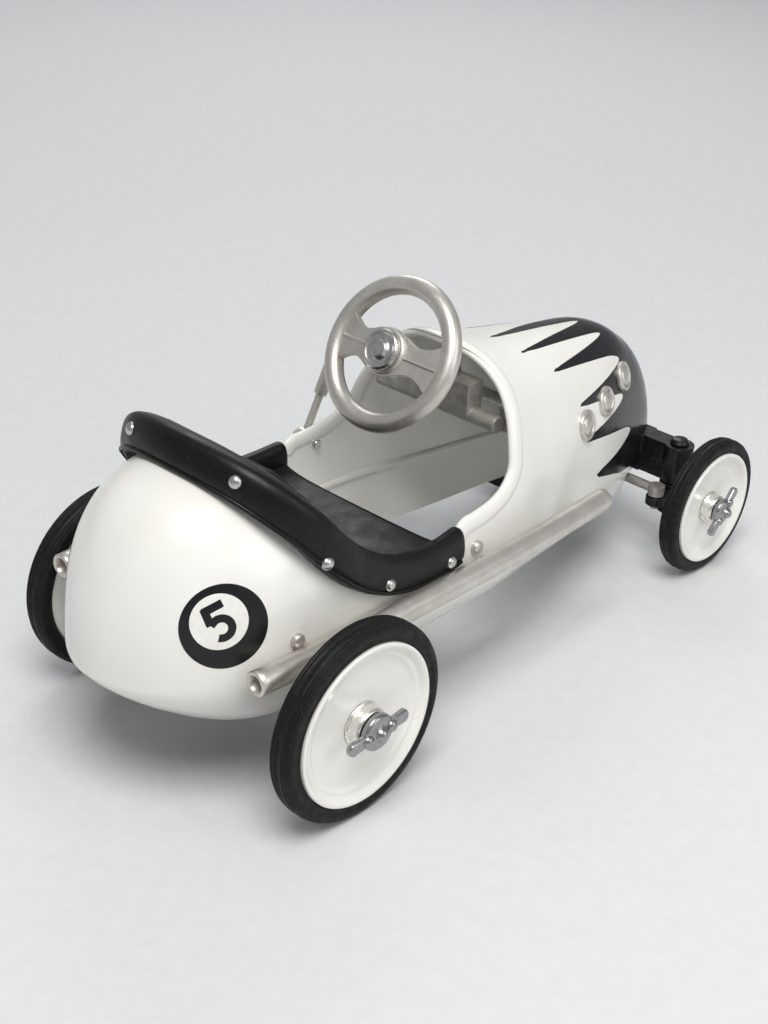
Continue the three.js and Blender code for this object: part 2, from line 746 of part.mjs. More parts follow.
const buildSteeringWheel = () => {
  const section = [];
  for (let i = 0; i <= 8; i++) {
    const angle = (i / 8) * 2 * Math.PI;
    section.push([RIM_R - RIM_TUBE_R * Math.cos(angle), RIM_TUBE_R * Math.sin(-angle)]);
  }
  let wheel = spun(section, RIM_CENTRE, COLUMN_UP, 36);
  // Half of a flat, waisted spoke.
  const half = [
    [0, 4.1],
    [3, 3.7],
    [5.6, 2.7],
    [8.2, 3.1],
    [RIM_R, 5.4],
  ];
  const outline = [...half, ...half.toReversed().map(([x, y]) => [x, -y])];
  const shape = new THREE.Shape(outline.map(([x, y]) => new THREE.Vector2(x, y)));
  const plate = new THREE.ExtrudeGeometry(shape, { depth: SPOKE.thick, bevelEnabled: false });
  const rise = Math.atan2(SPOKE.rise, RIM_R);
  for (const [, side] of SIDES) {
    const across = vec(side, 0, 0);
    const tilted = across.clone().multiplyScalar(Math.cos(rise)).addScaledVector(COLUMN_UP, -Math.sin(rise));
    const normal = COLUMN_UP.clone().multiplyScalar(Math.cos(rise)).addScaledVector(across, Math.sin(rise));
    const turn = new THREE.Matrix4().makeBasis(tilted, normal.clone().cross(tilted), normal);
    turn.setPosition(onWheelAxis(SPOKE.height));
    wheel = wheel.add(toSolid(plate, turn));
  }
  const hub = [
    [0, -2.6],
    [2.6, -2.6],
    [3.2, -1],
    [4.3, 1.2],
    [4.3, 2.6],
    [0, 2.6],
  ];
  wheel = wheel.add(spun(hub, RIM_CENTRE, COLUMN_UP, 24));
  // A blind socket underneath takes the column.
  wheel = wheel.subtract(rod(onWheelAxis(-4), onWheelAxis(1.2), COLUMN_R + GAP, 16));
  add("steering_wheel", wheel, SILVER_PAINT);
  const cap = [
    [0, 2.6 + GAP],
    [3.7, 2.6 + GAP],
    [3.7, 3.5],
    [3.2, 3.9],
    [2.7, 3.6],
    [1.6, 4.3],
    [0, 4.6],
  ];
  add("steering_hub_cap", spun(cap, RIM_CENTRE, COLUMN_UP, 20), BRIGHT_METAL);
};

const buildColumn = () => {
  const foot = onColumn(TIE_ROD.y);
  const column = rod(foot, onWheelAxis(0.9), COLUMN_R, 16);
  // The foot is bent down into a peg that swings the tie rod.
  const knee = toSolid(new THREE.SphereGeometry(COLUMN_R * 1.02, 16, 10), standing(foot, UP));
  const peg = upright(0, TIE_ROD.y, foot.z, TIE_ROD.z - 2.6, PEG_R, 16);
  add("steering_column", column.add(knee).add(peg), PLAIN_STEEL);
};

const DASH = { y: -4.4, barZ: 47.4, barR: 1.6, width: 17, depth: 4, tall: 6.4, drop: 1.9, bossR: 3.7 };
const PLATE = { y: -40, thick: 1.6, tall: 12 };

// The passage for the column through something at y.
const columnBore = (y) => rod(onColumn(y + 12), onColumn(y - 12), COLUMN_R + GAP, 16);

const buildColumnSupports = () => {
  const z = onColumn(DASH.y).z;
  const reach = onSide(DASH.y, DASH.barZ, 1).point.x - WALL - GAP - 2.4;
  let dash = rod(vec(-reach, DASH.y, DASH.barZ), vec(reach, DASH.y, DASH.barZ), DASH.barR, 18);
  dash = dash.add(block(DASH.width, DASH.depth, DASH.tall, 0, DASH.y, z - DASH.drop));
  const boss = [DASH.y - DASH.depth / 2, DASH.y + DASH.depth / 2].map((y) => vec(0, y, z));
  dash = dash.add(rod(...boss, DASH.bossR, 20));
  add("dash_bracket", dash.subtract(columnBore(DASH.y)), GREY_METAL);
  const plate = block(BEYOND, PLATE.thick, PLATE.tall, 0, PLATE.y, onColumn(PLATE.y).z)
    .intersect(bodyForm(-WALL - GAP))
    .subtract(columnBore(PLATE.y));
  add("column_support_plate", plate, GREY_METAL);
};

const buildTieRod = () => {
  const { y, z, r, pinR, eyeR } = TIE_ROD;
  let tie = rod(vec(-KINGPIN.x, y, z), vec(KINGPIN.x, y, z), r, 16);
  forSides((word, side) => {
    const x = side * KINGPIN.x;
    tie = tie.add(upright(x, y, z - 4.2, z + r, pinR, 16));
    tie = tie.add(upright(x, y, ARM.top + GAP, z + r, eyeR, 18));
  });
  tie = tie.add(block(PEG_SLOT.x + 2 * PEG_SLOT.rim, PEG_SLOT.y + 2 * PEG_SLOT.rim, PEG_SLOT.thick, 0, y, z));
  tie = tie.subtract(block(PEG_SLOT.x, PEG_SLOT.y, 3 * PEG_SLOT.thick, 0, y, z));
  add("tie_rod", tie, GREY_METAL);
};

// ---------------------------------------------------------------- brake lever
const LEVER = { x: 23.7, length: 15.8, r: 0.75, eyeR: 2, eyeThick: 1.6 };
const GRIP = { length: 7, r: 1.3, tipR: 0.8, startR: 1.15, roof: 0.3 };
const PIVOT_BOLT = { inner: -3.9, head: 1.1, headR: 1.8 };

const buildBrake = () => {
  const at = (x) => LEVER_PIVOT.clone().setX(x);
  const pivot = at(LEVER.x);
  const along = (h) => pivot.clone().addScaledVector(LEVER_LEAN, h);
  let lever = rod(at(LEVER.x - LEVER.eyeThick / 2), at(LEVER.x + LEVER.eyeThick / 2), LEVER.eyeR, 24);
  lever = lever.add(rod(pivot, along(LEVER.length - 2 * GAP), LEVER.r, 16));
  lever = lever.subtract(rod(at(0), at(BEYOND), PIVOT_R + GAP, 20));
  add("brake_lever", lever, SILVER_PAINT);
  const inner = LEVER.r + GAP / 2;
  const outline = [
    [inner, 0],
    [GRIP.startR, 0],
    [GRIP.r, 0.4],
    [GRIP.r, GRIP.length - 0.5],
    [GRIP.tipR, GRIP.length],
    [0, GRIP.length + 0.1],
    [0, GRIP.length - GRIP.roof],
    [inner, GRIP.length - GRIP.roof],
  ];
  const grip = spun([...outline, outline[0]], along(LEVER.length - GRIP.length), LEVER_LEAN, 20);
  add("brake_grip", grip, SILVER_PAINT);
  const bolt = [
    [0, PIVOT_BOLT.inner],
    [PIVOT_R, PIVOT_BOLT.inner],
    [PIVOT_R, PIVOT_BOLT.head],
    [PIVOT_BOLT.headR, PIVOT_BOLT.head],
    [PIVOT_BOLT.headR - 0.3, PIVOT_BOLT.head + 0.6],
    [0, PIVOT_BOLT.head + 0.9],
  ];
  add("brake_pivot_bolt", spun(bolt, pivot, vec(1, 0, 0), 20), BRIGHT_METAL);
};

buildBody();
buildSeat();
buildTrim();
buildExhausts();
buildWheels();
buildRearAxle();
buildFrontAxle();
buildSteeringWheel();
buildColumn();
buildColumnSupports();
buildTieRod();
buildBrake();

export default car;
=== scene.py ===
import math

import bmesh
import bpy
import numpy as np
from mathutils import Matrix, Vector


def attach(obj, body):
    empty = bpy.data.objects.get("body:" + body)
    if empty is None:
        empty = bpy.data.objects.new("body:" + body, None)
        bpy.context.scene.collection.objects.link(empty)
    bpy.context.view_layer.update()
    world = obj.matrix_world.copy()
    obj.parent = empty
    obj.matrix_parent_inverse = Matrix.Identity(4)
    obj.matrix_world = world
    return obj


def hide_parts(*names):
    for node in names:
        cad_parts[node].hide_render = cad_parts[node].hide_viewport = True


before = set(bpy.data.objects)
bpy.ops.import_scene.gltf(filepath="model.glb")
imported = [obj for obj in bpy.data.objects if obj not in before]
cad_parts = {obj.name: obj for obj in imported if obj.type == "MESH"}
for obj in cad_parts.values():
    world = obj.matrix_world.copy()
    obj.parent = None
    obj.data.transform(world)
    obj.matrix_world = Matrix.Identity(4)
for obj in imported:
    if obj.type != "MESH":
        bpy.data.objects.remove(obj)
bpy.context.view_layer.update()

# ---------------- driving dimensions, in millimetres
MM = 0.001
WHEELBASE = 110
REAR_AXLE_Y = 47.5
FRONT_AXLE_Y = REAR_AXLE_Y - WHEELBASE
# Tyre radius and width, its outer face from the centre line, the spinner's half length and its lean at rest.
REAR = {"radius": 17.8, "width": 4.6, "face": 33.3, "ear": 6.8, "lean": -0.09}
FRONT = {"radius": 14.4, "width": 3.9, "face": 26.6, "ear": 5.6, "lean": -0.84}
DISC_SHARE = 0.815
WALL = 1.5
SILL_Z = 15
GAP = 0.3
AXLE_R = 1.5
STUB_R = 1.2
COLUMN_TILT = math.radians(30.5)
RIM_CENTRE = Vector((0, 9, 60.3))
RIM_R = 12.4
RIM_TUBE_R = 1.75
PIPE_R = 2.2
PIPE_Z = 28.6
TIE_ROD_Z = 17
TIE_ROD_Y = FRONT_AXLE_Y + 6.5
BEAM_TOP = 25.3
BEAM_DEPTH = 5.4
SIDES = (("left", 1), ("right", -1))
UP = Vector((0, 0, 1))
TURN = 2 * math.pi
# Points of a mesh nearer than this are one, in metres.
MERGE = 1e-6


# ---------------- curves
def smooth_through(points):
    """A smooth function of y through a few (y, value) points."""
    last = len(points) - 1

    def slope(k):
        a, b = points[max(k - 1, 0)], points[min(k + 1, last)]
        return (b[1] - a[1]) / (b[0] - a[0])

    def value(y):
        if y <= points[0][0]:
            return points[0][1]
        if y >= points[last][0]:
            return points[last][1]
        i = next(k for k, p in enumerate(points) if p[0] > y) - 1
        span = points[i + 1][0] - points[i][0]
        t = (y - points[i][0]) / span
        return (
            (2 * t**3 - 3 * t**2 + 1) * points[i][1]
            + (t**3 - 2 * t**2 + t) * span * slope(i)
            + (3 * t**2 - 2 * t**3) * points[i + 1][1]
            + (t**3 - t**2) * span * slope(i + 1)
        )

    return value


class Route:
    """A smooth line through points, walked by its length."""

    def __init__(self, points, per_span=24):
        points = [Vector(p) for p in points]
        padded = [2 * points[0] - points[1]] + points + [2 * points[-1] - points[-2]]
        self.points = []
        for i in range(len(points) - 1):
            self.points += self.span(padded[i : i + 4], per_span)
        self.points.append(points[-1])
        steps = [(b - a).length for a, b in zip(self.points, self.points[1:])]
        self.at = np.concatenate([[0], np.cumsum(steps)])
        self.length = float(self.at[-1])

    @staticmethod
    def span(p, count):
        """A centripetal Catmull-Rom span from p[1] to p[2], without its last point."""
        d = [max((b - a).length, 1e-6) ** 0.5 for a, b in zip(p, p[1:])]
        start = ((p[1] - p[0]) / d[0] - (p[2] - p[0]) / (d[0] + d[1]) + (p[2] - p[1]) / d[1]) * d[1]
        end = ((p[2] - p[1]) / d[1] - (p[3] - p[1]) / (d[1] + d[2]) + (p[3] - p[2]) / d[2]) * d[1]
        square = 3 * (p[2] - p[1]) - 2 * start - end
        cube = 2 * (p[1] - p[2]) + start + end
        return [p[1] + start * t + square * t**2 + cube * t**3 for t in (k / count for k in range(count))]

    def point(self, share):
        target = min(max(share, 0), 1) * self.length
        i = min(max(int(np.searchsorted(self.at, target)), 1), len(self.points) - 1)
        span = self.at[i] - self.at[i - 1]
        return self.points[i - 1].lerp(self.points[i], (target - self.at[i - 1]) / span)

    def along(self, share):
        step = 0.003
        return (self.point(share + step) - self.point(share - step)).normalized()


# ---------------- shapes: (vertices, faces) in millimetres
def grid(rows, columns, point, wrap=True):
    """A surface of rows by columns. point(u, v) gives its places, and wrap closes it round the columns."""
    around = columns if wrap else columns + 1
    vertices = [point(i / rows, j / columns) for i in range(rows + 1) for j in range(around)]
    faces = []
    for i in range(rows):
        for j in range(columns):
            a, b = i * around + j, i * around + (j + 1) % around
            faces.append((a, b, b + around, a + around))
    return vertices, faces


def combine(*shapes):
    vertices, faces = [], []
    for some, more in shapes:
        start = len(vertices)
        vertices += some
        faces += [tuple(i + start for i in face) for face in more]
    return vertices, faces


def soften(profile, radius, steps=4):
    """Rounds the corners of an open profile."""
    points = [Vector(p) for p in profile]
    out = [points[0]]
    for before, corner, after in zip(points, points[1:], points[2:]):
        reach = min(radius, (before - corner).length * 0.45, (after - corner).length * 0.45)
        start = corner + (before - corner).normalized() * reach
        end = corner + (after - corner).normalized() * reach
        for k in range(steps + 1):
            t = k / steps
            out.append(start.lerp(corner, t).lerp(corner.lerp(end, t), t))
    return [tuple(p) for p in out + [points[-1]]]


def square_to(direction):
    """A direction at unit length, and two more square to it and to each other."""
    axis = Vector(direction).normalized()
    helper = Vector((1, 0, 0)) if abs(axis.x) < 0.9 else Vector((0, 1, 0))
    first = (helper - axis * helper.dot(axis)).normalized()
    return axis, first, axis.cross(first)


def placed(across, upwards, out, spot):
    """The matrix that puts flat (x, y) and thickness z along three directions at a spot."""
    rows = [[across[i], upwards[i], out[i], spot[i]] for i in range(3)]
    return Matrix(rows + [[0, 0, 0, 1]])


def lathe(profile, centre, direction, segments=64):
    """Spins (radius, height) points round a line."""
    axis, first, second = square_to(direction)
    rows = len(profile) - 1

    def point(u, v):
        r, h = profile[round(u * rows)]
        turn = TURN * v
        return Vector(centre) + axis * h + (first * math.cos(turn) + second * math.sin(turn)) * r

    return grid(rows, segments, point)


def capped(shape, segments):
    """Closes the open ends of a swept shape."""
    vertices, faces = shape
    last = len(vertices) - segments
    return vertices, faces + [tuple(range(segments)), tuple(range(last, last + segments))]


def dome_head(radius, rise, start, count):
    """The profile of a domed head, from an angle below its widest place up to its top."""
    arc = [(radius * math.cos(a), rise * math.sin(a)) for a in np.linspace(start, math.pi / 2, count)]
    return [(0, arc[0][1])] + arc[:-1] + [(0, arc[-1][1])]


def plate(outline, thick, place):
    """A flat outline of (x, y) points with a thickness, put in place by a matrix."""
    count = len(outline)
    vertices = [place @ Vector((x, y, z)) for z in (-thick / 2, thick / 2) for x, y in outline]
    sides = [(i, (i + 1) % count, (i + 1) % count + count, i + count) for i in range(count)]
    return vertices, sides + [tuple(range(count)), tuple(range(count, 2 * count))]


def side_prism(outline, half_width=60):
    """A side-view outline of (y, z) points, drawn through the whole width of the car."""
    place = Matrix(((0, 0, 1, 0), (1, 0, 0, 0), (0, 1, 0, 0), (0, 0, 0, 1)))
    return plate(outline, 2 * half_width, place)


# ---------------- pieces
def linked(name, data):
    """A new object in the scene."""
    obj = bpy.data.objects.new(name, data)
    bpy.context.scene.collection.objects.link(obj)
    return obj


def to_object(name, shape, orient=True):
    """Makes an object from a shape. A shape whose faces already point the right way isn't oriented."""
    vertices, faces = shape
    mesh = bpy.data.meshes.new(name)
    mesh.from_pydata([tuple(c * MM for c in v) for v in vertices], [], faces)
    clean = bmesh.new()
    clean.from_mesh(mesh)
    bmesh.ops.remove_doubles(clean, verts=clean.verts, dist=MERGE)
    bmesh.ops.dissolve_degenerate(clean, edges=clean.edges, dist=MERGE)
    if orient:
        bmesh.ops.recalc_face_normals(clean, faces=clean.faces)
    clean.to_mesh(mesh)
    clean.free()
    return linked(name, mesh)


def shade(obj, angle=35):
    obj.data.shade_smooth()
    obj.data.set_sharp_from_angle(angle=math.radians(angle))


def bevel(obj, width, segments=3, angle=40):
    step = obj.modifiers.new("edges", "BEVEL")
    step.width = width * MM
    step.segments = segments
    step.limit_method = "ANGLE"
    step.angle_limit = math.radians(angle)
    step.harden_normals = False


def piece(name, shape, material, body, stands_for=(), angle=35):
    """A finished piece that rides on a body and stands for CAD nodes. Its material is (material, slot), and
    the slot is not used.
    """
    obj = shape if isinstance(shape, bpy.types.Object) else to_object(name, shape)
    shade(obj, angle)
    look, slot = material
    obj.data.materials.append(look)
    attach(obj, body)
    if stands_for:
        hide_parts(*stands_for)
    return obj


def refined(node, material, body, width):
    """A CAD node's own shape, with its edges rounded."""
    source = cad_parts[node].data
    mesh = bpy.data.meshes.new(node + "_fine")
    clean = bmesh.new()
    clean.from_mesh(source)
    bmesh.ops.remove_doubles(clean, verts=clean.verts, dist=2 * MERGE)
    bmesh.ops.dissolve_limit(clean, angle_limit=math.radians(2), verts=clean.verts, edges=clean.edges)
    bmesh.ops.recalc_face_normals(clean, faces=clean.faces)
    clean.to_mesh(mesh)
    clean.free()
    for name in [a.name for a in mesh.attributes if a.name == "custom_normal"]:
        mesh.attributes.remove(mesh.attributes[name])
    mesh.materials.clear()
    obj = piece(node + "_fine", linked(node + "_fine", mesh), material, body, (node,), angle=38)
    bevel(obj, width, segments=2)


# ---------------- materials
class Look:
    """A Principled material with a few words for building its nodes. Sizes of detail are in millimetres."""

    def __init__(self, name, roughness, metallic=0.0, **constants):
        self.material = bpy.data.materials.new(name)
        self.material.use_nodes = True
        self.nodes = self.material.node_tree.nodes
        self.links = self.material.node_tree.links
        self.shader = self.nodes["Principled BSDF"]
        self.shader.inputs["Metallic"].default_value = metallic
        self.shader.inputs["Roughness"].default_value = roughness
        for socket, value in constants.items():
            self.shader.inputs[socket.replace("_", " ")].default_value = value
        self.place = self.nodes.new("ShaderNodeTexCoord").outputs["Object"]
        self.normal = None

    def add(self, kind, **inputs):
        node = self.nodes.new("ShaderNode" + kind)
        for socket, value in inputs.items():
            socket = node.inputs[socket.replace("_", " ")]
            if isinstance(value, bpy.types.NodeSocket):
                self.links.new(value, socket)
            else:
                socket.default_value = value
        return node

    def noise(self, size, detail=3.0, stretch=None):
        where = self.place
        if stretch:
            where = self.add("Mapping", Vector=where, Scale=stretch).outputs[0]
        return self.add("TexNoise", Vector=where, Scale=1 / (size * MM), Detail=detail).outputs["Fac"]

    def spread(self, value, low, high, start=0.3, end=0.7):
        return self.add(
            "MapRange", Value=value, **{"From Min": start, "From Max": end, "To Min": low, "To Max": high}
        ).outputs["Result"]

    def mix(self, share, first, second):
        node = self.nodes.new("ShaderNodeMix")
        node.data_type = "RGBA"
        for socket, value in ((0, share), (6, first), (7, second)):
            if isinstance(value, bpy.types.NodeSocket):
                self.links.new(value, node.inputs[socket])
            else:
                node.inputs[socket].default_value = value if socket == 0 else (*value, 1)
        return node.outputs[2]

    def colour(self, value):
        self.links.new(value, self.shader.inputs["Base Color"])

    def roughness(self, value):
        self.links.new(value, self.shader.inputs["Roughness"])

    def clouds(self, size, detail, first, second):
        """A colour that drifts between two."""
        self.colour(self.mix(self.spread(self.noise(size, detail), 0, 1), first, second))

    def wear(self, size, detail, low, high):
        """A roughness that drifts between two values."""
        self.roughness(self.spread(self.noise(size, detail), low, high))

    def bump(self, height, depth, strength=1.0):
        """Raises the surface by height times depth millimetres, on top of any earlier bump."""
        node = self.add("Bump", Height=height, Distance=depth * MM, Strength=strength)
        if self.normal:
            self.links.new(self.normal, node.inputs["Normal"])
        self.normal = node.outputs[0]
        self.links.new(self.normal, self.shader.inputs["Normal"])
        return self


WHITE = (0.87, 0.86, 0.82)
WHITE_AGED = (0.80, 0.785, 0.735)
BLACK = (0.006, 0.006, 0.007)
BLACK_DUSTY = (0.016, 0.016, 0.018)


def white_enamel(name="white_enamel", black_where=None):
    """Thick gloss paint with a faint orange peel. Where black_where is above zero it's black."""
    look = Look(name, 0.2, Coat_Weight=0.25, Coat_Roughness=0.06)
    colour = look.mix(look.spread(look.noise(14), 0, 0.6), WHITE, WHITE_AGED)
    if black_where:
        edge = look.add("Attribute")
        edge.attribute_name = black_where
        mask = look.spread(edge.outputs["Fac"], 0, 1, -0.03, 0.03)
        dark = look.mix(look.spread(look.noise(3), 0, 1), BLACK, BLACK_DUSTY)
        colour = look.mix(mask, colour, dark)
        look.bump(mask, 0.02, 0.5)
        look.links.new(look.spread(mask, 0.5, 0.25, 0, 1), look.shader.inputs["Specular IOR Level"])
        look.links.new(look.spread(mask, 0.25, 0.05, 0, 1), look.shader.inputs["Coat Weight"])
    look.colour(colour)
    look.wear(5, 3, 0.16, 0.27)
    look.bump(look.noise(0.9, 2), 0.012, 0.6)
    return look.bump(look.noise(0.25, 2), 0.002, 0.5).material


def black_enamel():
    look = Look("black_enamel", 0.22, Specular_IOR_Level=0.3, Coat_Weight=0.05, Coat_Roughness=0.08)
    look.clouds(2.5, 3, BLACK, BLACK_DUSTY)
    look.wear(2, 3, 0.18, 0.34)
    return look.bump(look.noise(0.6), 0.01, 0.6).material


def seat_black():
    """Satin moulded black with a fine grain and a little dust."""
    look = Look("seat_black", 0.42, Specular_IOR_Level=0.28)
    dust = look.spread(look.noise(0.7, 6), 0, 1, 0.58, 0.85)
    look.colour(look.mix(dust, (0.004, 0.0038, 0.0042), (0.022, 0.021, 0.021)))
    look.wear(3, 4, 0.3, 0.47)
    look.bump(look.noise(0.35, 4), 0.018, 0.45)
    return look.bump(look.noise(4, 2), 0.03, 0.35).material


def tyre_rubber():
    look = Look("tyre_rubber", 0.55, Specular_IOR_Level=0.22)
    dust = look.spread(look.noise(0.8, 6), 0, 1, 0.5, 0.8)
    look.colour(look.mix(dust, (0.006, 0.006, 0.006), (0.022, 0.021, 0.02)))
    look.wear(2.2, 4, 0.42, 0.66)
    return look.bump(look.noise(0.22, 4), 0.02, 0.6).material


def silver_paint():
    """Warm silver paint over a grainy casting."""
    look = Look("silver_paint", 0.4, metallic=0.85)
    flake = look.spread(look.noise(0.09, 1), 0, 1)
    tone = look.spread(look.noise(3.5, 4), 0, 0.5)
    light = look.mix(flake, (0.56, 0.53, 0.49), (0.84, 0.81, 0.76))
    look.colour(look.mix(tone, light, (0.48, 0.445, 0.40)))
    look.wear(0.3, 5, 0.3, 0.5)
    look.bump(look.noise(0.2, 3), 0.02, 0.7)
    return look.bump(look.noise(1.2, 3), 0.035, 0.5).material


def polished(name, light, dark):
    """Bright metal with a soft polish and faint cloudy wear."""
    look = Look(name, 0.3, metallic=1.0)
    look.clouds(1.2, 4, light, dark)
    look.wear(0.5, 5, 0.22, 0.36)
    return look.bump(look.noise(0.35, 3), 0.012, 0.6).material


def grey_metal():
    look = Look("grey_metal", 0.5, metallic=0.6)
    look.clouds(1.8, 5, (0.46, 0.44, 0.41), (0.30, 0.285, 0.26))
    look.wear(0.5, 5, 0.36, 0.58)
    return look.bump(look.noise(0.3, 3), 0.02, 0.6).material


def plain_steel():
    look = Look("plain_steel", 0.3, metallic=1.0)
    streaks = look.noise(0.5, 4, stretch=(0.15, 1, 1))
    look.colour(look.mix(look.spread(streaks, 0, 1), (0.56, 0.55, 0.54), (0.38, 0.37, 0.36)))
    look.roughness(look.spread(streaks, 0.22, 0.42))
    return look.bump(streaks, 0.006, 0.6).material


def decal_ink(name, dark, light):
    look = Look(name, 0.3, Specular_IOR_Level=0.35)
    look.clouds(1.2, 4, dark, light)
    look.wear(2, 4, 0.26, 0.36)
    return look.bump(look.noise(0.6, 3), 0.002, 0.5).material


def floor_cloth():
    look = Look("floor_cloth", 0.85)
    look.clouds(3, 5, (0.72, 0.725, 0.73), (0.69, 0.695, 0.70))
    return look.bump(look.noise(0.6, 3), 0.03, 0.4).material


ENAMEL = (white_enamel(), "white_enamel")
PAINTED = (white_enamel("body_paint", "nose_black"), "white_enamel")
DARK_ENAMEL = (black_enamel(), "black_enamel")
SEAT_BLACK = (seat_black(), "seat_black")
RUBBER = (tyre_rubber(), "tyre_rubber")
SILVER = (silver_paint(), "silver_paint")
BRIGHT = (polished("bright_metal", (0.66, 0.65, 0.63), (0.5, 0.49, 0.475)), "bright_metal")
HUB_METAL = (polished("hub_metal", (0.90, 0.88, 0.84), (0.85, 0.83, 0.78)), "bright_metal")
SPINNER_METAL = (polished("spinner_metal", (0.40, 0.40, 0.41), (0.33, 0.33, 0.34)), "bright_metal")
GREY = (grey_metal(), "grey_metal")
STEEL = (plain_steel(), "plain_steel")
INK_BLACK = (decal_ink("ink_black", BLACK, (0.009, 0.009, 0.010)), "black_enamel")
INK_WHITE = (decal_ink("ink_white", WHITE, WHITE_AGED), "white_enamel")


# ---------------- body form
HALF_WIDTH = smooth_through(
    [(-70, 8), (-56, 10.4), (-42, 14), (-28, 16.8), (-14, 19.4), (-4, 21.3), (14, 22.3), (50, 22.4)]
)
CREST = smooth_through([(-56, 50.5), (-34, 54.2), (-16, 57.4), (-4, 60.4), (8, 61.6), (40, 56.8), (55, 55.6)])
WAIST = smooth_through([(-60, 21), (-45, 22.5), (-8, 30), (36, 30.8), (77, 24.7)])
KEEL_Z = 8.3
SECTION_POWER = 2.28
NOSE = {"start": -43.8, "end": -69.5, "side": 2.9, "top": 2.05, "bottom": 2.05}
TAIL = {"start": 51.9, "end": 76.9, "side": 1.84, "top": 2.32, "bottom": 1.3}
# Where the closer rings of the mesh start towards each end, and how many there are.
BOW_Y, BOW_RINGS = -57, 22
STERN_Y, STERN_RINGS = 50, 30
OUTER_STEP, OUTER_AROUND = 0.7, 288
INNER_STEP, INNER_AROUND = 1.6, 96


def ease(y, end, power, grow):
    """How much of the full section is left at y, inside a rounded end."""
    length = end["end"] - end["start"] + (grow if end["end"] > 0 else -grow)
    share = min(max((y - end["start"]) / length, 0), 1)
    return (1 - share**power) ** (1 / power)


def section(y, grow=0.0):
    """Half width, waist height, rise above the waist and drop below it."""
    waist = WAIST(y)

    def left(key):
        return ease(y, NOSE, NOSE[key], grow) * ease(y, TAIL, TAIL[key], grow)

    half = (HALF_WIDTH(y) + grow) * left("side")
    return half, waist, (CREST(y) - waist + grow) * left("top"), (waist - KEEL_Z + grow) * left("bottom")


def rounded(value, power):
    return math.copysign(abs(value) ** (2 / power), value)


def body_form(grow, stations, around):
    """The body's closed outer form, grown by a little or shrunk, with a ring of the mesh at each station."""

    def point(u, v):
        y = stations[round(u * (len(stations) - 1))]
        half, waist, rise, drop = section(y, grow)
        turn = TURN * v
        reach = rise if math.sin(turn) > 0 else drop
        return (
            half * rounded(math.cos(turn), SECTION_POWER),
            y,
            waist + reach * rounded(math.sin(turn), SECTION_POWER),
        )

    return grid(len(stations) - 1, around, point)


def body_stations(grow, step):
    """Closer together over the rounded ends, and even between them."""
    nose, tail = NOSE["end"] - grow, TAIL["end"] + grow
    quarter = math.pi / 2
    front = [BOW_Y - (BOW_Y - nose) * math.sin(k / BOW_RINGS * quarter) for k in range(BOW_RINGS, 0, -1)]
    middle = list(np.linspace(BOW_Y, STERN_Y, round((STERN_Y - BOW_Y) / step) + 1))
    back = [STERN_Y + (tail - STERN_Y) * math.sin(k / STERN_RINGS * quarter) for k in range(STERN_RINGS + 1)]
    return front + middle + back[1:]


def width_at(y, z, grow=0.0):
    half, waist, rise, drop = section(y, grow)
    reach = rise if z > waist else drop
    share = abs(z - waist) / reach if reach > 0 else 1
    return half * max(1 - min(share, 1) ** SECTION_POWER, 0) ** (1 / SECTION_POWER)


def inside(point, grow=0.0):
    """Below zero inside the body form, above zero outside it."""
    x, y, z = point
    if not NOSE["end"] - grow < y < TAIL["end"] + grow:
        return 1.0
    half, waist, rise, drop = section(y, grow)
    reach = rise if z > waist else drop
    if min(half, reach) < 1e-6:
        return 1.0
    return (abs(x) / half) ** SECTION_POWER + (abs(z - waist) / reach) ** SECTION_POWER - 1


def on_side(y, z, side):
    """The body's outer surface at a place along its side: the point and its outward direction."""
    slope_y = width_at(y + 0.5, z) - width_at(y - 0.5, z)
    slope_z = width_at(y, z + 0.5) - width_at(y, z - 0.5)
    return Vector((side * width_at(y, z), y, z)), Vector((side, -slope_y, -slope_z)).normalized()


# ---------------- scalloped nose paint
# Round the section in degrees, 0 at the waist on the right and 90 at the crest, with each tip's place along
# the car. White fingers reach forwards between black spikes that reach back.
BLACK_TIPS = [(-60, -53), (1.5, -35.5), (16, -30.5), (31, -29), (51.5, -23.7), (68, -18), (84.6, -14.4)]
WHITE_TIPS = [(-7, -55), (10, -52.2), (25.6, -48.2), (43, -49.4), (61, -46.4), (78, -44.2), (92.3, -42)]
BLACK_TIPS += [(100, -14.4), (115.5, -18), (132, -23.7), (149, -29), (164, -30.5), (178.5, -35.5), (240, -53)]
WHITE_TIPS += [(107.5, -44.2), (124, -46.4), (140.5, -49.4), (156.5, -48.2), (171, -52.2), (187, -55)]
LEAN = [(-15, 1), (11, 3.6), (44, 7), (77, 10.5), (100, 10.5), (140, 2), (180, -3)]
LEAN_START, LEAN_LENGTH = -14, 32
TIP_ROUNDNESS = 1.1
SPIKE_TIP = 0.7
PAINT_SHARPNESS = 0.3
PAINT_LIMIT = 5.0


def paint_line(turn):
    """How far back the black reaches at an angle round the section."""
    turn = min(max(turn, BLACK_TIPS[0][0]), BLACK_TIPS[-1][0])
    for (start, first_y), (end, last_y), (tip, tip_y) in zip(BLACK_TIPS, BLACK_TIPS[1:], WHITE_TIPS):
        if start <= turn <= end:
            spike, spike_y = (start, first_y) if turn < tip else (end, last_y)
            t = min(abs(turn - tip) / (abs(spike - tip) - SPIKE_TIP), 1)
            e = TIP_ROUNDNESS
            return tip_y + (spike_y - tip_y) * (math.hypot(t, e) - e) / (math.hypot(1, e) - e)


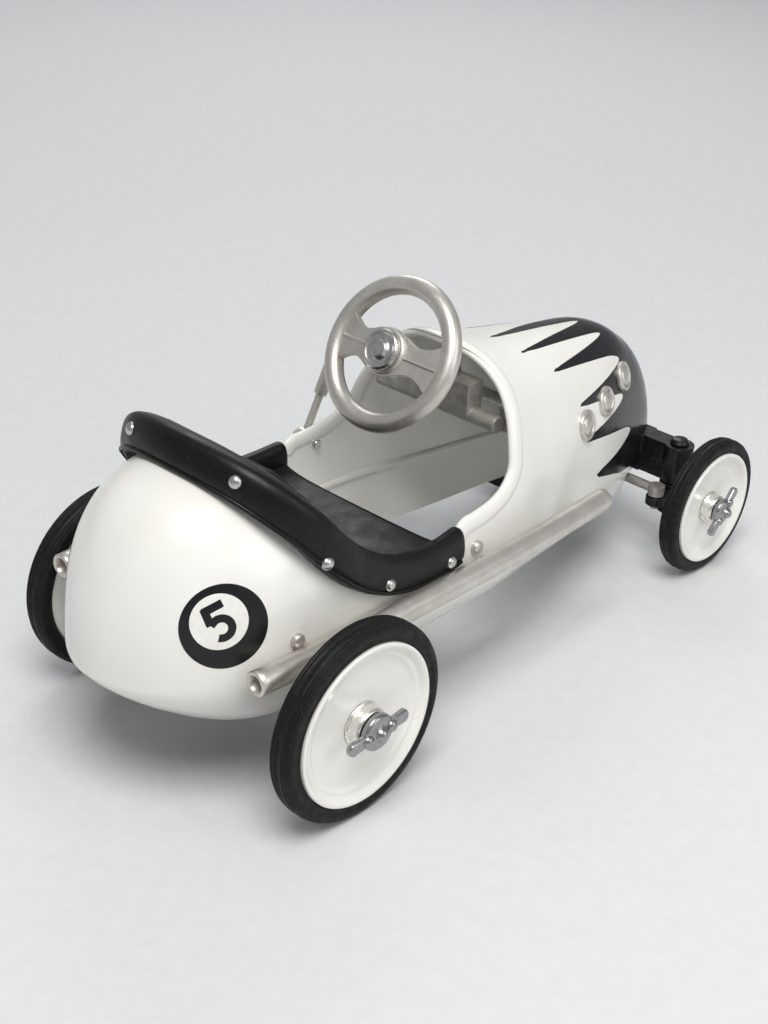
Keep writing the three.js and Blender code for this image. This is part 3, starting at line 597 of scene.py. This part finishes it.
def nose_black(point):
    """Above zero where the body is black."""
    x, y, z = point
    if y > 0 or inside(point, -WALL / 2) < 0:
        return -PAINT_LIMIT
    half, waist, rise, drop = section(y)
    reach = rise if z > waist else drop
    upward = (abs(z - waist) / max(reach, 1e-6)) ** (SECTION_POWER / 2)
    outward = (abs(x) / max(half, 1e-6)) ** (SECTION_POWER / 2)
    turn = math.degrees(math.atan2(math.copysign(upward, z - waist), math.copysign(outward, -x)))
    if turn < -90:
        turn += 360
    angles, leans = zip(*LEAN)
    turn -= float(np.interp(turn, angles, leans)) * (LEAN_START - y) / LEAN_LENGTH
    return min(max((paint_line(turn) - y) * PAINT_SHARPNESS, -PAINT_LIMIT), PAINT_LIMIT)


# ---------------- body shell
# The padded rim of the seat, from its left front end to the middle of the seat back.
RIM_LEFT = [
    (21.8, 13.2, 33.6), (22.3, 20, 33.1), (22.3, 27, 33.5), (22.3, 33, 35.2), (22.1, 39, 38.6),
    (21.7, 44.5, 43.4), (20.4, 48.4, 48.2), (17.8, 51.6, 52), (13, 54.2, 55.1), (6.8, 55.8, 56.8),
]
COWL_EDGE = [
    (14.5, 34.4), (12.6, 36.6), (9, 36.9), (3.5, 37.7), (0, 39.3), (-2.2, 41.6), (-3.4, 45.8),
    (-4.9, 50.7), (-5.6, 54.4), (-4.9, 58.2), (-3, 60.4), (0, 62.5), (3, 66),
]
COWL = Route([(0, y, z) for y, z in COWL_EDGE], per_span=10)
LIP = {"thick": 0.98, "wide": 1.9, "back": 1.05, "rings": 200, "around": 28}
LIP_STEPS = 60
PORTHOLE_R = 3
PORTHOLES = (("rear", -30.5, 39.3), ("middle", -39.6, 40.6), ("front", -49.2, 42))
EXHAUST_BOLTS = (("rear", 52.9), ("front", 9.4))
BOLT_Z = PIPE_Z + PIPE_R + 0.5
BUSH_R = 2.9
BUSH_BORE = (10, 40)
LEDGE = {"front": -44, "back": 39, "step": 6, "z": 24.6, "r": 0.75, "proud": 0.1}
SEAT_BACK_Y = 57
SEAT_CUT_BELOW_RIM = 1.5
# Cutters reach out to here, past everything, and down to below the floor.
BEYOND = 90
BELOW = -10
ROD_ROOM = 3.5
ROD_HEADROOM = 2.2


def cut(obj, cutter):
    """Takes the cutter away from an object, and keeps the result as its mesh."""
    step = obj.modifiers.new("cut", "BOOLEAN")
    step.operation = "DIFFERENCE"
    step.solver = "EXACT"
    step.object = cutter
    bpy.context.view_layer.update()
    done = bpy.data.meshes.new_from_object(obj.evaluated_get(bpy.context.evaluated_depsgraph_get()))
    obj.modifiers.clear()
    obj.data = done
    bpy.data.objects.remove(cutter)


def cockpit_outline():
    seat = [(y, z - SEAT_CUT_BELOW_RIM) for _, y, z in RIM_LEFT[1:]]
    cowl = [(p.y, p.z) for p in reversed(COWL.points)]
    return [(cowl[0][0], BEYOND)] + cowl + seat + [(SEAT_BACK_Y, BEYOND)]


def underside_outline():
    """Everything below the sill, with the gaps for the front axle and the tie rod."""
    axle_front = FRONT_AXLE_Y - BEAM_DEPTH / 2 - GAP
    rod_front, rod_back = TIE_ROD_Y - ROD_ROOM, TIE_ROD_Y + ROD_ROOM
    return [
        (-BEYOND, BELOW),
        (BEYOND, BELOW),
        (BEYOND, SILL_Z),
        (rod_back, SILL_Z),
        (rod_back, TIE_ROD_Z + ROD_HEADROOM),
        (rod_front, TIE_ROD_Z + ROD_HEADROOM),
        (rod_front, BEAM_TOP + GAP),
        (axle_front, BEAM_TOP + GAP),
        (axle_front, SILL_Z),
        (-BEYOND, SILL_Z),
    ]


def build_body():
    """The painted shell, cut open for the cockpit, the underside and the rear bushes."""
    vertices, faces = body_form(0, body_stations(0, OUTER_STEP), OUTER_AROUND)
    outer = vertices, [face[::-1] for face in faces]
    inner = body_form(-WALL, body_stations(-WALL, INNER_STEP), INNER_AROUND)
    body = to_object("body_painted", combine(outer, inner), orient=False)
    (start, end), bore_r = BUSH_BORE, BUSH_R + GAP
    bore = [(0, start), (bore_r, start), (bore_r, end), (0, end)]
    bores = [lathe(bore, (0, REAR_AXLE_Y, REAR["radius"]), (side, 0, 0), 32) for _, side in SIDES]
    cut(body, to_object("cutter", combine(side_prism(cockpit_outline()), side_prism(underside_outline()))))
    cut(body, to_object("cutter", combine(*bores)))
    mesh = body.data
    paint = mesh.attributes.new("nose_black", "FLOAT", "POINT")
    paint.data.foreach_set("value", [nose_black([c / MM for c in v.co]) for v in mesh.vertices])
    piece("body_painted", body, PAINTED, "chassis", ("body_shell",), angle=32)


def lip_route():
    """Along the middle of the body's wall, round the cowl's edge from left to right."""
    left = []
    for p in COWL.points[2:]:
        crest = section(p.y, -WALL / 2)
        if p.z >= crest[1] + crest[2]:
            break
        left.append(Vector((width_at(p.y, p.z, -WALL / 2), p.y, p.z)))
    top = left[-1].copy()
    crest = section(top.y + 0.25, -WALL / 2)
    left.append(Vector((0, top.y + 0.3, crest[1] + crest[2])))
    whole = left + [Vector((-p.x, p.y, p.z)) for p in reversed(left[:-1])]
    # Even steps, so that the swept edge stays smooth over the crest.
    rough = Route(whole, per_span=4)
    return Route([rough.point(k / LIP_STEPS) for k in range(LIP_STEPS + 1)], per_span=4)


def ring_tube(route, rings, segments, radius):
    """A round tube along any route, with frames carried along it so that it doesn't twist."""
    frames = []
    along = route.along(0)
    _, first, _ = square_to(along)
    for i in range(rings + 1):
        along = route.along(i / rings)
        first = (first - along * first.dot(along)).normalized()
        frames.append((route.point(i / rings), first.copy(), along.cross(first)))

    def point(u, v):
        centre, first, second = frames[round(u * rings)]
        return centre + (first * math.cos(TURN * v) + second * math.sin(TURN * v)) * radius

    return capped(grid(rings, segments, point), segments)


def form_normal(point):
    """The direction straight out of the body form at a point."""
    step = 0.2
    steps = (Vector((step, 0, 0)), Vector((0, step, 0)), Vector((0, 0, step)))
    return Vector([inside(point + d, -WALL / 2) - inside(point - d, -WALL / 2) for d in steps]).normalized()


def build_lip():
    """The cowl's edge, rolled into a soft flat bead that fades into the body."""
    route = lip_route()

    def point(u, v):
        centre, along = route.point(u), route.along(u)
        outward = form_normal(centre)
        back = outward.cross(along).normalized()
        turn = TURN * v
        return (
            centre
            + back * (LIP["back"] + LIP["wide"] * math.cos(turn))
            + outward * LIP["thick"] * math.sin(turn)
        )

    bead = grid(LIP["rings"], LIP["around"], point)
    piece("cockpit_lip", capped(bead, LIP["around"]), ENAMEL, "chassis", angle=60)


def build_body_edges():
    build_lip()
    ledges = []
    z = LEDGE["z"]
    stations = range(LEDGE["front"], LEDGE["back"], LEDGE["step"])
    for _, side in SIDES:
        path = [(side * (width_at(y, z, -WALL) + LEDGE["proud"]), y, z) for y in stations]
        ledges.append(ring_tube(Route(path, 6), 70, 10, LEDGE["r"]))
    piece("body_ledges", combine(*ledges), ENAMEL, "chassis")


# ---------------- roundels
ROUNDEL_R = 7.0
ROUNDEL_WHITE_R = 4.6
ROUNDEL_Y, ROUNDEL_Z = 64.2, 36.4
# The white disc and its digit sit off the middle of the black one.
WHITE_SHIFT, WHITE_RISE = 0.75, 1.0
DIGIT_WIDTH = 1.3
DIGIT_SIZE = 1.22
DIGIT_TILT = math.radians(24)
PAINT_STEP = 0.035


def wrapped(shape, centre, outward, lift):
    """Lays a flat (across, up) shape on the body round a centre, lifted off it by a little."""
    up = (UP - outward * UP.dot(outward)).normalized()
    across = up.cross(outward)

    def place(a, b):
        base = centre + across * a + up * b
        low, high = -5.0, 5.0
        for _ in range(22):
            middle = (low + high) / 2
            if inside(base + outward * middle) < 0:
                low = middle
            else:
                high = middle
        return base + outward * (low + lift)

    vertices, faces = shape
    return [place(a, b) for a, b in vertices], faces


def flat_disc(radius, across=0.0, up=0.0, rings=10, segments=72):
    def point(u, v):
        return across + radius * u * math.cos(TURN * v), up + radius * u * math.sin(TURN * v)

    return grid(rings, segments, point)


def ribbon(path, width, across=0.0, up=0.0):
    """A band of even width along flat points."""
    points = [Vector(p) for p in path]
    spans = 4
    vertices, faces = [], []
    for i, p in enumerate(points):
        along = (points[min(i + 1, len(points) - 1)] - points[max(i - 1, 0)]).normalized()
        side = Vector((-along.y, along.x)) * width / 2
        for k in range(spans + 1):
            q = p - side + side * (2 * k / spans)
            vertices.append((across + q.x, up + q.y))
    for i in range(len(points) - 1):
        for k in range(spans):
            a = i * (spans + 1) + k
            faces.append((a, a + 1, a + spans + 2, a + spans + 1))
    return vertices, faces


def digit_five():
    def line(start, end, count=8):
        return [Vector(start).lerp(Vector(end), k / count) for k in range(count + 1)]

    bowl_centre, bowl_r = Vector((-0.1, -0.85)), 1.35
    arc = [
        bowl_centre + Vector((math.cos(a), math.sin(a))) * bowl_r
        for a in (math.radians(118 - 250 * k / 28) for k in range(29))
    ]
    bar = line((-1.35, 2.15), (1.45, 2.15))
    stem = line((-1.0, 2.5), (-1.18, 0.1))
    return bar, stem, line((-1.18, 0.1), arc[0], 4)[:-1] + arc


def tilted(path):
    c, s = DIGIT_SIZE * math.cos(DIGIT_TILT), DIGIT_SIZE * math.sin(DIGIT_TILT)
    return [(p.x * c - p.y * s, p.x * s + p.y * c) for p in path]


def build_roundels():
    for word, side in SIDES:
        centre, outward = on_side(ROUNDEL_Y, ROUNDEL_Z, side)
        towards_back = side * WHITE_SHIFT
        black = wrapped(flat_disc(ROUNDEL_R, rings=16, segments=96), centre, outward, PAINT_STEP)
        white = wrapped(flat_disc(ROUNDEL_WHITE_R, towards_back, WHITE_RISE), centre, outward, 2 * PAINT_STEP)
        strokes = [ribbon(tilted(path), DIGIT_WIDTH, towards_back, WHITE_RISE) for path in digit_five()]
        digit = combine(*[wrapped(stroke, centre, outward, 3 * PAINT_STEP) for stroke in strokes])
        piece(f"roundel_black_{word}", black, INK_BLACK, "chassis")
        piece(f"roundel_white_{word}", white, INK_WHITE, "chassis")
        piece(f"roundel_digit_{word}", digit, INK_BLACK, "chassis")


# ---------------- seat
RIM_TOP = (0, 56.4, 57.3)
RIM_ROUTE = Route(RIM_LEFT + [RIM_TOP] + [(-x, y, z) for x, y, z in reversed(RIM_LEFT)], 16)
RIM_SIDE = {"thick": 1.6, "tall": 3.5, "lean": math.radians(3)}
RIM_BACK = {"thick": 2.9, "tall": 3.35, "lean": math.radians(20)}
RIM_END = 2
RIM_POWER = 2.7
END_POWER = 3.2
PIPING = {"r": 0.42, "inset": 0.012, "out": 0.78, "down": 0.8, "steps": 90}
SEAT_PROFILE = [(14, 30), (34, 28.6), (39, 29.6), (42.3, 33.5), (46, 43), (49.4, 51.4), (51.7, 55.1)]
SEAT_PROFILE += [(55.4, RIM_TOP[2])]
SEAT_SHEET = 1.7
SEAT_LOW_Z = 44
SEAT_SIDE_GAP = 0.7
SEAT_CURL, SEAT_HOLLOW = 1.5, 0.25
# Name, share of the rim's length, and drop below the middle of the rim.
RIVETS = (("front", 0.035, 1.3), ("side", 0.15, 1.3), ("corner", 0.272, 2.1), ("back", 0.412, -0.4))
RIVET_R = 1.15
RIVET_RISE = 0.75 * RIVET_R
RIVET_START = -0.6
RIVET_SINK = 0.15


def rim_frame(t):
    """At a share of the rim's length: its middle, outward and upward directions, and half sizes."""
    back = math.sin(math.pi * min(max(t, 0), 1)) ** 4
    mix = {key: RIM_SIDE[key] + (RIM_BACK[key] - RIM_SIDE[key]) * back for key in RIM_SIDE}
    along = RIM_ROUTE.along(t)
    out = along.cross(UP).normalized()
    rise = out.cross(along)
    c, s = math.cos(mix["lean"]), math.sin(mix["lean"])
    return RIM_ROUTE.point(t), out * c + rise * s, rise * c - out * s, mix["thick"], mix["tall"]


def seat_roll():
    end_share = RIM_END / RIM_ROUTE.length
    end_rings, rings = 0.06, 220

    def point(u, v):
        e = min(u, 1 - u)
        if e < end_rings:
            near = end_share * (1 - math.cos(e / end_rings * math.pi / 2))
        else:
            near = end_share + (e - end_rings) / (0.5 - end_rings) * (0.5 - end_share)
        t = near if u < 0.5 else 1 - near
        centre, outward, upward, thick, tall = rim_frame(t)
        left = 1.0 if near >= end_share else (1 - (1 - near / end_share) ** END_POWER) ** (1 / END_POWER)
        turn = TURN * v
        return (
            centre
            + outward * thick * left * rounded(math.cos(turn), RIM_POWER)
            + upward * tall * left * rounded(math.sin(turn), RIM_POWER)
        )

    return grid(rings, 44, point)


def seat_piping():
    """A welt along the roll's lower outer edge."""
    points = []
    inset = PIPING["inset"]
    for k in range(PIPING["steps"] + 1):
        centre, outward, upward, thick, tall = rim_frame(inset + (1 - 2 * inset) * k / PIPING["steps"])
        points.append(centre + outward * thick * PIPING["out"] - upward * tall * PIPING["down"])
    return ring_tube(Route(points, 3), 240, 10, PIPING["r"])


def seat_pan():
    """The pan and the back, one bent sheet that turns up where it meets the roll."""
    profile = Route([(0, y, z) for y, z in SEAT_PROFILE], 16)
    heights = [z for _, _, z in RIM_LEFT[2:]] + [RIM_TOP[2]]
    widths = [x for x, _, _ in RIM_LEFT[2:]] + [0]

    def point(u, v):
        centre, along = profile.point(u), profile.along(u)
        half = float(np.interp(centre.z, heights, widths))
        if centre.z < SEAT_LOW_Z:
            half = min(half, width_at(centre.y, centre.z) - SEAT_SIDE_GAP)
        share = 2 * v - 1
        normal = Vector((0, -along.z, along.y))
        curl = SEAT_CURL * abs(share) ** 7 - SEAT_HOLLOW * (1 - share**2)
        return centre + Vector((half * share, 0, 0)) + normal * curl

    return grid(90, 56, point, wrap=False)


def build_seat():
    piece("seat_roll", seat_roll(), SEAT_BLACK, "chassis", ("seat",), angle=60)
    piece("seat_piping", seat_piping(), SEAT_BLACK, "chassis", angle=60)
    pan = piece("seat_pan", seat_pan(), SEAT_BLACK, "chassis", angle=60)
    sheet = pan.modifiers.new("sheet", "SOLIDIFY")
    sheet.thickness = SEAT_SHEET * MM
    sheet.offset = -1
    for place, share, drop in RIVETS:
        for word, t in (("left", share), ("right", 1 - share)):
            centre, outward, upward, thick, _ = rim_frame(t)
            spot = centre - upward * drop + outward * (thick - RIVET_SINK)
            head = lathe(dome_head(RIVET_R, RIVET_RISE, RIVET_START, 12), spot, outward, 32)
            name = f"seat_rivet_{place}_{word}"
            piece(name + "_head", head, BRIGHT, "chassis", (name,), angle=50)


# ---------------- trim
PORTHOLE_DOME = {"radius": PORTHOLE_R - 1.05, "inset": 0.01, "foot": 0.35, "rise": 0.75}
# (radius, height out of the body)
BOLT_PROFILE = [(0, -1), (1.25, -1), (1.25, 0.7), (1.05, 1.0), (0.55, 1.2), (0, 1.25)]


def porthole_profile():
    """A raised ring round a shallow dome, as (radius, height out of the body)."""
    r, dome = PORTHOLE_R, PORTHOLE_DOME
    ring = [(0, -1), (r, -1), (r, 0.55), (r - 0.35, 0.8), (r - 0.75, 0.7), (r - 0.95, dome["foot"])]
    arc = [
        (dome["radius"] * math.cos(a) - dome["inset"], dome["foot"] + dome["rise"] * math.sin(a))
        for a in np.linspace(0, 1.5, 8)
    ]
    return soften(ring, 0.18) + arc + [(0, dome["foot"] + dome["rise"])]


def build_trim():
    for word, side in SIDES:
        for place, y, z in PORTHOLES:
            spot, outward = on_side(y, z, side)
            name = f"porthole_{place}_{word}"
            shape = lathe(porthole_profile(), spot, outward, 56)
            piece(name + "_ring", shape, SILVER, "chassis", (name,), angle=50)
        for place, y in EXHAUST_BOLTS:
            spot, outward = on_side(y, BOLT_Z, side)
            name = f"exhaust_bolt_{place}_{word}"
            head = lathe(soften(BOLT_PROFILE, 0.2), spot, outward, 32)
            piece(name + "_head", head, SILVER, "chassis", (name,), angle=50)


PIPE_PATH = [(24.1, 63.5), (25.1, 44), (25.3, 22), (25.1, 0), (23.8, -26)]
PIPE_BORE = 0.66 * PIPE_R
PIPE_BORE_DEPTH = 2.4
PIPE_RINGS = 60
# The end of a pipe as (distance from the end, radius), from deep in the bore to the outside.
PIPE_MOUTH = [
    (PIPE_BORE_DEPTH, 0.01),
    (PIPE_BORE_DEPTH, PIPE_BORE),
    (0.12, PIPE_BORE + 0.02),
    (0, PIPE_BORE + 0.15),
    (0, PIPE_R - 0.2),
    (0.2, PIPE_R),
]


def build_exhausts():
    for word, side in SIDES:
        route = Route([(side * x, y, PIPE_Z) for x, y in PIPE_PATH])
        length = route.length
        walk = PIPE_MOUTH + [(length * k / PIPE_RINGS, PIPE_R) for k in range(1, PIPE_RINGS)]
        walk += [(length - at, r) for at, r in reversed(PIPE_MOUTH)]

        def point(u, v):
            at, radius = walk[round(u * (len(walk) - 1))]
            along = route.along(at / length)
            out = along.cross(UP).normalized()
            turn = TURN * v
            return route.point(at / length) + out * radius * math.cos(turn) + UP * radius * math.sin(turn)

        name = f"exhaust_pipe_{word}"
        piece(name + "_tube", grid(len(walk) - 1, 40, point), SILVER, "chassis", (name,), angle=50)


# ---------------- wheels
BARREL_SHARE = 0.15
DRUM_SHARE = 0.21
BOSS_SHARE = 0.185
EAR_SHARE = 0.072
EAR_THICK = 1.2
EAR_LIFT = 0.15
BOSS_RISE = 1.6
SPINNER_RISE = 2.8
# The knobs on the spinner: radius and rise as shares of an ear's tip, and place as a share of the boss.
KNOB = {"radius": 0.9, "rise": 0.75, "start": -0.5, "lift": 1.15, "from_middle": 0.82}
DISC_DISH = 1.3
DRUM_RISE_SHARE = 0.075
TYRE_SHOULDER = 1.7
TREAD_STEPS = 72
RIBS = 9
RIB_DEPTH = 0.2
# The disc's edge stands proud of the tyre's face and ends short of its back, and its ring is set in.
DISC_PROUD, DISC_BACK, RING_IN = 0.4, 0.8, 0.6


def hub_top(wheel):
    return wheel["width"] / 2 + wheel["radius"] * DRUM_RISE_SHARE


def tyre_profile(wheel):
    """A square-shouldered tyre with fine ribs round its tread."""
    radius, half = wheel["radius"], wheel["width"] / 2
    bead = radius * DISC_SHARE + GAP / 2
    shoulder = radius - TYRE_SHOULDER
    tread = []
    for k in range(TREAD_STEPS + 1):
        share = k / TREAD_STEPS
        turn = share * math.pi
        rib = RIB_DEPTH * (0.5 - 0.5 * math.cos(TURN * RIBS * share)) * math.sin(turn) ** 0.5
        out = shoulder + TYRE_SHOULDER * math.sin(turn) ** 0.62 - rib
        tread.append((out, -half * rounded(math.cos(turn), 3)))
    wall = [(bead + 0.35, half), (bead + 0.1, half - 0.1), (bead, half - 0.35)]
    raised = [(shoulder - 0.1, half), (shoulder - 0.3, half - 0.12), (bead + 0.6, half - 0.1)]
    inner = [(bead, -half + 0.45), (bead + 0.4, -half), (shoulder, -half)]
    return inner + tread[1:-1] + raised + wall + [inner[0]]


def disc_profile(wheel, bore):
    """A dished disc with a raised edge and a flat ring inside it."""
    edge, half = wheel["radius"] * DISC_SHARE + 0.05, wheel["width"] / 2
    face, ring, back, step = half + DISC_PROUD, half - RING_IN, -half + DISC_BACK, edge * 0.8
    outline = [
        (bore, -1.1),
        (step, -1.1),
        (edge - 1.2, back),
        (edge, back),
        (edge, face),
        (edge - 0.7, face),
        (edge - 1.7, ring),
        (step + 0.6, ring),
        (step - 0.2, ring - 0.45),
        (bore + 1.6, half - DISC_DISH),
        (bore, half - DISC_DISH),
    ]
    return soften(outline, 0.45, 5) + [outline[0]]


def hub_profile(wheel, bore):
    """A barrel through the disc and a wider drum outside it."""
    radius, half = wheel["radius"], wheel["width"] / 2
    drum, face, top = radius * DRUM_SHARE, half - DISC_DISH + GAP / 2, hub_top(wheel)
    outline = [
        (bore, -half),
        (radius * BARREL_SHARE, -half),
        (radius * BARREL_SHARE, face),
        (drum + 0.25, face),
        (drum + 0.2, face + 0.25),
        (drum - 0.1, face + 0.4),
        (drum - 0.15, top - 0.45),
        (drum - 0.5, top),
        (bore, top),
    ]
    return soften(outline, 0.2) + [outline[0]]


def ear_outline(reach, tip, waist):
    """A two-eared bar with rounded tips."""
    quarter = [(0, waist * 1.5), (reach * 0.3, waist), (reach * 0.62, waist * 0.86)]
    turns = [math.pi * (0.12 + 0.38 * k / 6) for k in range(7)]
    arc = [(reach + tip * math.sin(a), tip * math.cos(a)) for a in turns]
    half = quarter + arc
    right = half + [(x, -y) for x, y in reversed(half[:-1])]
    return right + [(-x, y) for x, y in reversed(right[1:-1])]


def spinner_shape(wheel, centre, side):
    """The spinner's domed boss with two knobs, and its two ears."""
    radius = wheel["radius"]
    out = Vector((side, 0, 0))
    start = hub_top(wheel) + GAP
    boss, tip = radius * BOSS_SHARE, radius * EAR_SHARE
    base = centre + out * start
    profile = [(0, 0), (boss, 0), (boss, 0.9), (boss - 0.35, 1.3), (boss * 0.5, 1.45)]
    profile.append((boss * 0.42, BOSS_RISE))
    dome_rise = SPINNER_RISE - BOSS_RISE
    turns = np.linspace(0.2, math.pi / 2, 8)[:-1]
    dome = [(boss * 0.4 * math.cos(a), BOSS_RISE + dome_rise * math.sin(a)) for a in turns]
    shapes = [lathe(soften(profile, 0.2) + dome + [(0, SPINNER_RISE)], base, out, 48)]
    lean = Matrix.Rotation(wheel["lean"], 4, "X")
    along = lean @ Vector((0, 1, 0))
    across = lean @ Vector((0, 0, 1))
    place = placed(along, across, out, base + out * (EAR_THICK / 2 + EAR_LIFT))
    ears = plate(ear_outline(wheel["ear"] - tip, tip, tip * 0.95), EAR_THICK, place)
    knob = dome_head(tip * KNOB["radius"], tip * KNOB["rise"], KNOB["start"], 8)
    for sign in (-1, 1):
        spot = base + out * KNOB["lift"] + along * sign * boss * KNOB["from_middle"]
        shapes.append(lathe(knob, spot, out, 20))
    return combine(*shapes), ears


def build_wheel(name, wheel, y, side, shaft, body):
    centre = Vector((side * (wheel["face"] - wheel["width"] / 2), y, wheel["radius"]))
    out = (side, 0, 0)
    barrel = wheel["radius"] * BARREL_SHARE + GAP / 2
    tyre = lathe(tyre_profile(wheel), centre, out, 144)
    piece(f"{name}_tyre_ribbed", tyre, RUBBER, body, (f"{name}_tyre",), angle=60)
    disc = lathe(disc_profile(wheel, barrel), centre, out, 112)
    piece(f"{name}_disc_dished", disc, ENAMEL, body, (f"{name}_wheel_disc",), angle=50)
    hub = lathe(hub_profile(wheel, shaft + GAP / 2), centre, out, 64)
    piece(f"{name}_hub_drum", hub, HUB_METAL, body, (f"{name}_wheel_hub",), angle=50)
    knobs, ears = spinner_shape(wheel, centre, side)
    piece(f"{name}_spinner_boss", knobs, SPINNER_METAL, body, (f"{name}_wheel_spinner",), angle=50)
    bevel(piece(f"{name}_spinner_ears", ears, SPINNER_METAL, body), 0.34, 4)


def build_wheels():
    for word, side in SIDES:
        build_wheel(f"rear_{word}", REAR, REAR_AXLE_Y, side, AXLE_R, "rear_wheels")
        build_wheel(f"front_{word}", FRONT, FRONT_AXLE_Y, side, STUB_R, f"front_wheel_{word}")


# ---------------- steering wheel
COLUMN_UP = Vector((0, math.cos(COLUMN_TILT), math.sin(COLUMN_TILT)))
SPOKE_RISE = math.atan2(1.7, RIM_R)
SPOKE_FOOT = 1.1
SPOKE_THICK = 1.3
# (radius, height up the column)
HUB_PROFILE = [(0, -2.6), (2.6, -2.6), (3.2, -1), (4.3, 1.2), (4.3, 2.2), (3.9, 2.6), (0, 2.6)]
CAP_PROFILE = [(0, 2.7), (3.7, 2.7), (3.7, 3.5), (3.2, 3.9), (2.75, 3.65), (2.1, 3.55)]
CAP_PROFILE += [(1.75, 3.7), (1.5, 4.3), (0, 4.5)]
# (distance from the middle, half width)
SPOKE_HALF = [(0, 4), (2.6, 3.75), (4.6, 2.95), (6.2, 2.62), (8, 2.95), (9.8, 4), (11.3, 5.3), (12.2, 5.9)]


def spoke_place(side):
    across = Vector((side, 0, 0))
    tilted = across * math.cos(SPOKE_RISE) - COLUMN_UP * math.sin(SPOKE_RISE)
    normal = COLUMN_UP * math.cos(SPOKE_RISE) + across * math.sin(SPOKE_RISE)
    sideways = normal.cross(tilted)
    origin = RIM_CENTRE + COLUMN_UP * (SPOKE_FOOT + SPOKE_THICK / 2)
    return placed(tilted, sideways, normal, origin)


def build_steering_wheel():
    rim = [(RIM_R + RIM_TUBE_R * math.cos(a), RIM_TUBE_R * math.sin(a)) for a in np.linspace(0, TURN, 29)]
    rim_piece = lathe(rim, RIM_CENTRE, COLUMN_UP, 128)
    wheel = combine(rim_piece, lathe(soften(HUB_PROFILE, 0.3), RIM_CENTRE, COLUMN_UP, 64))
    piece("steering_rim_and_hub", wheel, SILVER, "steering", ("steering_wheel",), angle=50)
    for word, side in SIDES:
        upper = [(p.x, p.y) for p in Route([(x, y, 0) for x, y in SPOKE_HALF], 5).points]
        outline = upper + [(x, -y) for x, y in reversed(upper)]
        place = spoke_place(side)
        spoke = piece(f"steering_spoke_{word}", plate(outline, SPOKE_THICK, place), SILVER, "steering")
        bevel(spoke, 0.32, 4, 50)
        ridge = Route([place @ Vector((x, 0, SPOKE_THICK / 2 + 0.02)) for x in (4.2, 7.5, 10.7)], 6)
        piece(f"steering_spoke_ridge_{word}", ring_tube(ridge, 20, 10, 0.3), SILVER, "steering", angle=60)
    cap = lathe(soften(CAP_PROFILE, 0.22), RIM_CENTRE, COLUMN_UP, 56)
    piece("steering_cap_domed", cap, BRIGHT, "steering", ("steering_hub_cap",), 50)


# ---------------- the CAD's own mechanical pieces
def build_mechanical():
    for node, material, body, width in (
        ("rear_axle", STEEL, "rear_wheels", 0.3),
        ("steering_column", STEEL, "steering", 0.2),
        ("front_axle_beam", DARK_ENAMEL, "chassis", 0.35),
        ("dash_bracket", GREY, "chassis", 0.4),
        ("column_support_plate", GREY, "chassis", 0.2),
        ("tie_rod", GREY, "tie_rod_body", 0.2),
        ("brake_lever", SILVER, "brake", 0.2),
        ("brake_grip", SILVER, "brake", 0.15),
        ("brake_pivot_bolt", BRIGHT, "chassis", 0.15),
    ):
        refined(node, material, body, width)
    for word, _ in SIDES:
        refined(f"rear_axle_bush_{word}", GREY, "chassis", 0.2)
        refined(f"kingpin_{word}", DARK_ENAMEL, "chassis", 0.2)
        refined(f"steering_knuckle_{word}", DARK_ENAMEL, f"knuckle_{word}", 0.25)


# ---------------- stage
CAMERA_BACK = Vector((-0.5853, 0.6533, 0.4802)).normalized()
CAMERA_TARGET = Vector((0.01056, -0.00288, 0.02024))
CAMERA_DISTANCE = 0.32857
CAMERA_ROLL = math.radians(2.92)
CAMERA_LENS = 59.77
FLOOR_SIZE = 4000


def build_camera():
    data = bpy.data.cameras.new("camera")
    camera = linked("camera", data)
    forward = -CAMERA_BACK
    right = forward.cross(UP).normalized()
    up = right.cross(forward)
    c, s = math.cos(CAMERA_ROLL), math.sin(CAMERA_ROLL)
    across, upward = right * c + up * s, up * c - right * s
    camera.matrix_world = placed(across, upward, CAMERA_BACK, CAMERA_TARGET + CAMERA_BACK * CAMERA_DISTANCE)
    data.lens = CAMERA_LENS
    data.sensor_width = 36
    data.clip_start = 0.01
    bpy.context.scene.camera = camera


def build_light(name, spot, target, size, power, tint=(1, 1, 1)):
    data = bpy.data.lights.new(name, "AREA")
    data.shape = "DISK"
    data.size = size
    data.energy = power
    data.color = tint
    light = linked(name, data)
    light.location = spot
    light.rotation_euler = (Vector(target) - Vector(spot)).to_track_quat("-Z", "Y").to_euler()


def build_stage():
    def corner(u, v):
        return (u - 0.5) * FLOOR_SIZE, (v - 0.5) * FLOOR_SIZE, -0.02

    floor = to_object("floor", grid(1, 1, corner, wrap=False))
    floor.data.materials.append(floor_cloth())
    middle = (0, 0, 0.03)
    build_light("key", (-0.2, 0.22, 0.6), middle, 0.36, 3.1, (1, 0.985, 0.96))
    build_light("side_fill", (-0.6, -0.15, 0.35), middle, 0.5, 1.0)
    build_light("far_rim", (0.4, -0.4, 0.45), middle, 0.4, 1.1, (0.96, 0.98, 1))
    world = bpy.data.worlds.new("studio")
    world.use_nodes = True
    sky = world.node_tree.nodes["Background"]
    sky.inputs["Color"].default_value = (0.9, 0.92, 0.95, 1)
    sky.inputs["Strength"].default_value = 0.36
    bpy.context.scene.world = world
    bpy.context.scene.view_settings.view_transform = "Standard"


# ---------------- the whole scene
build_body()
build_body_edges()
build_roundels()
build_seat()
build_trim()
build_exhausts()
build_wheels()
build_steering_wheel()
build_mechanical()
build_camera()
build_stage()
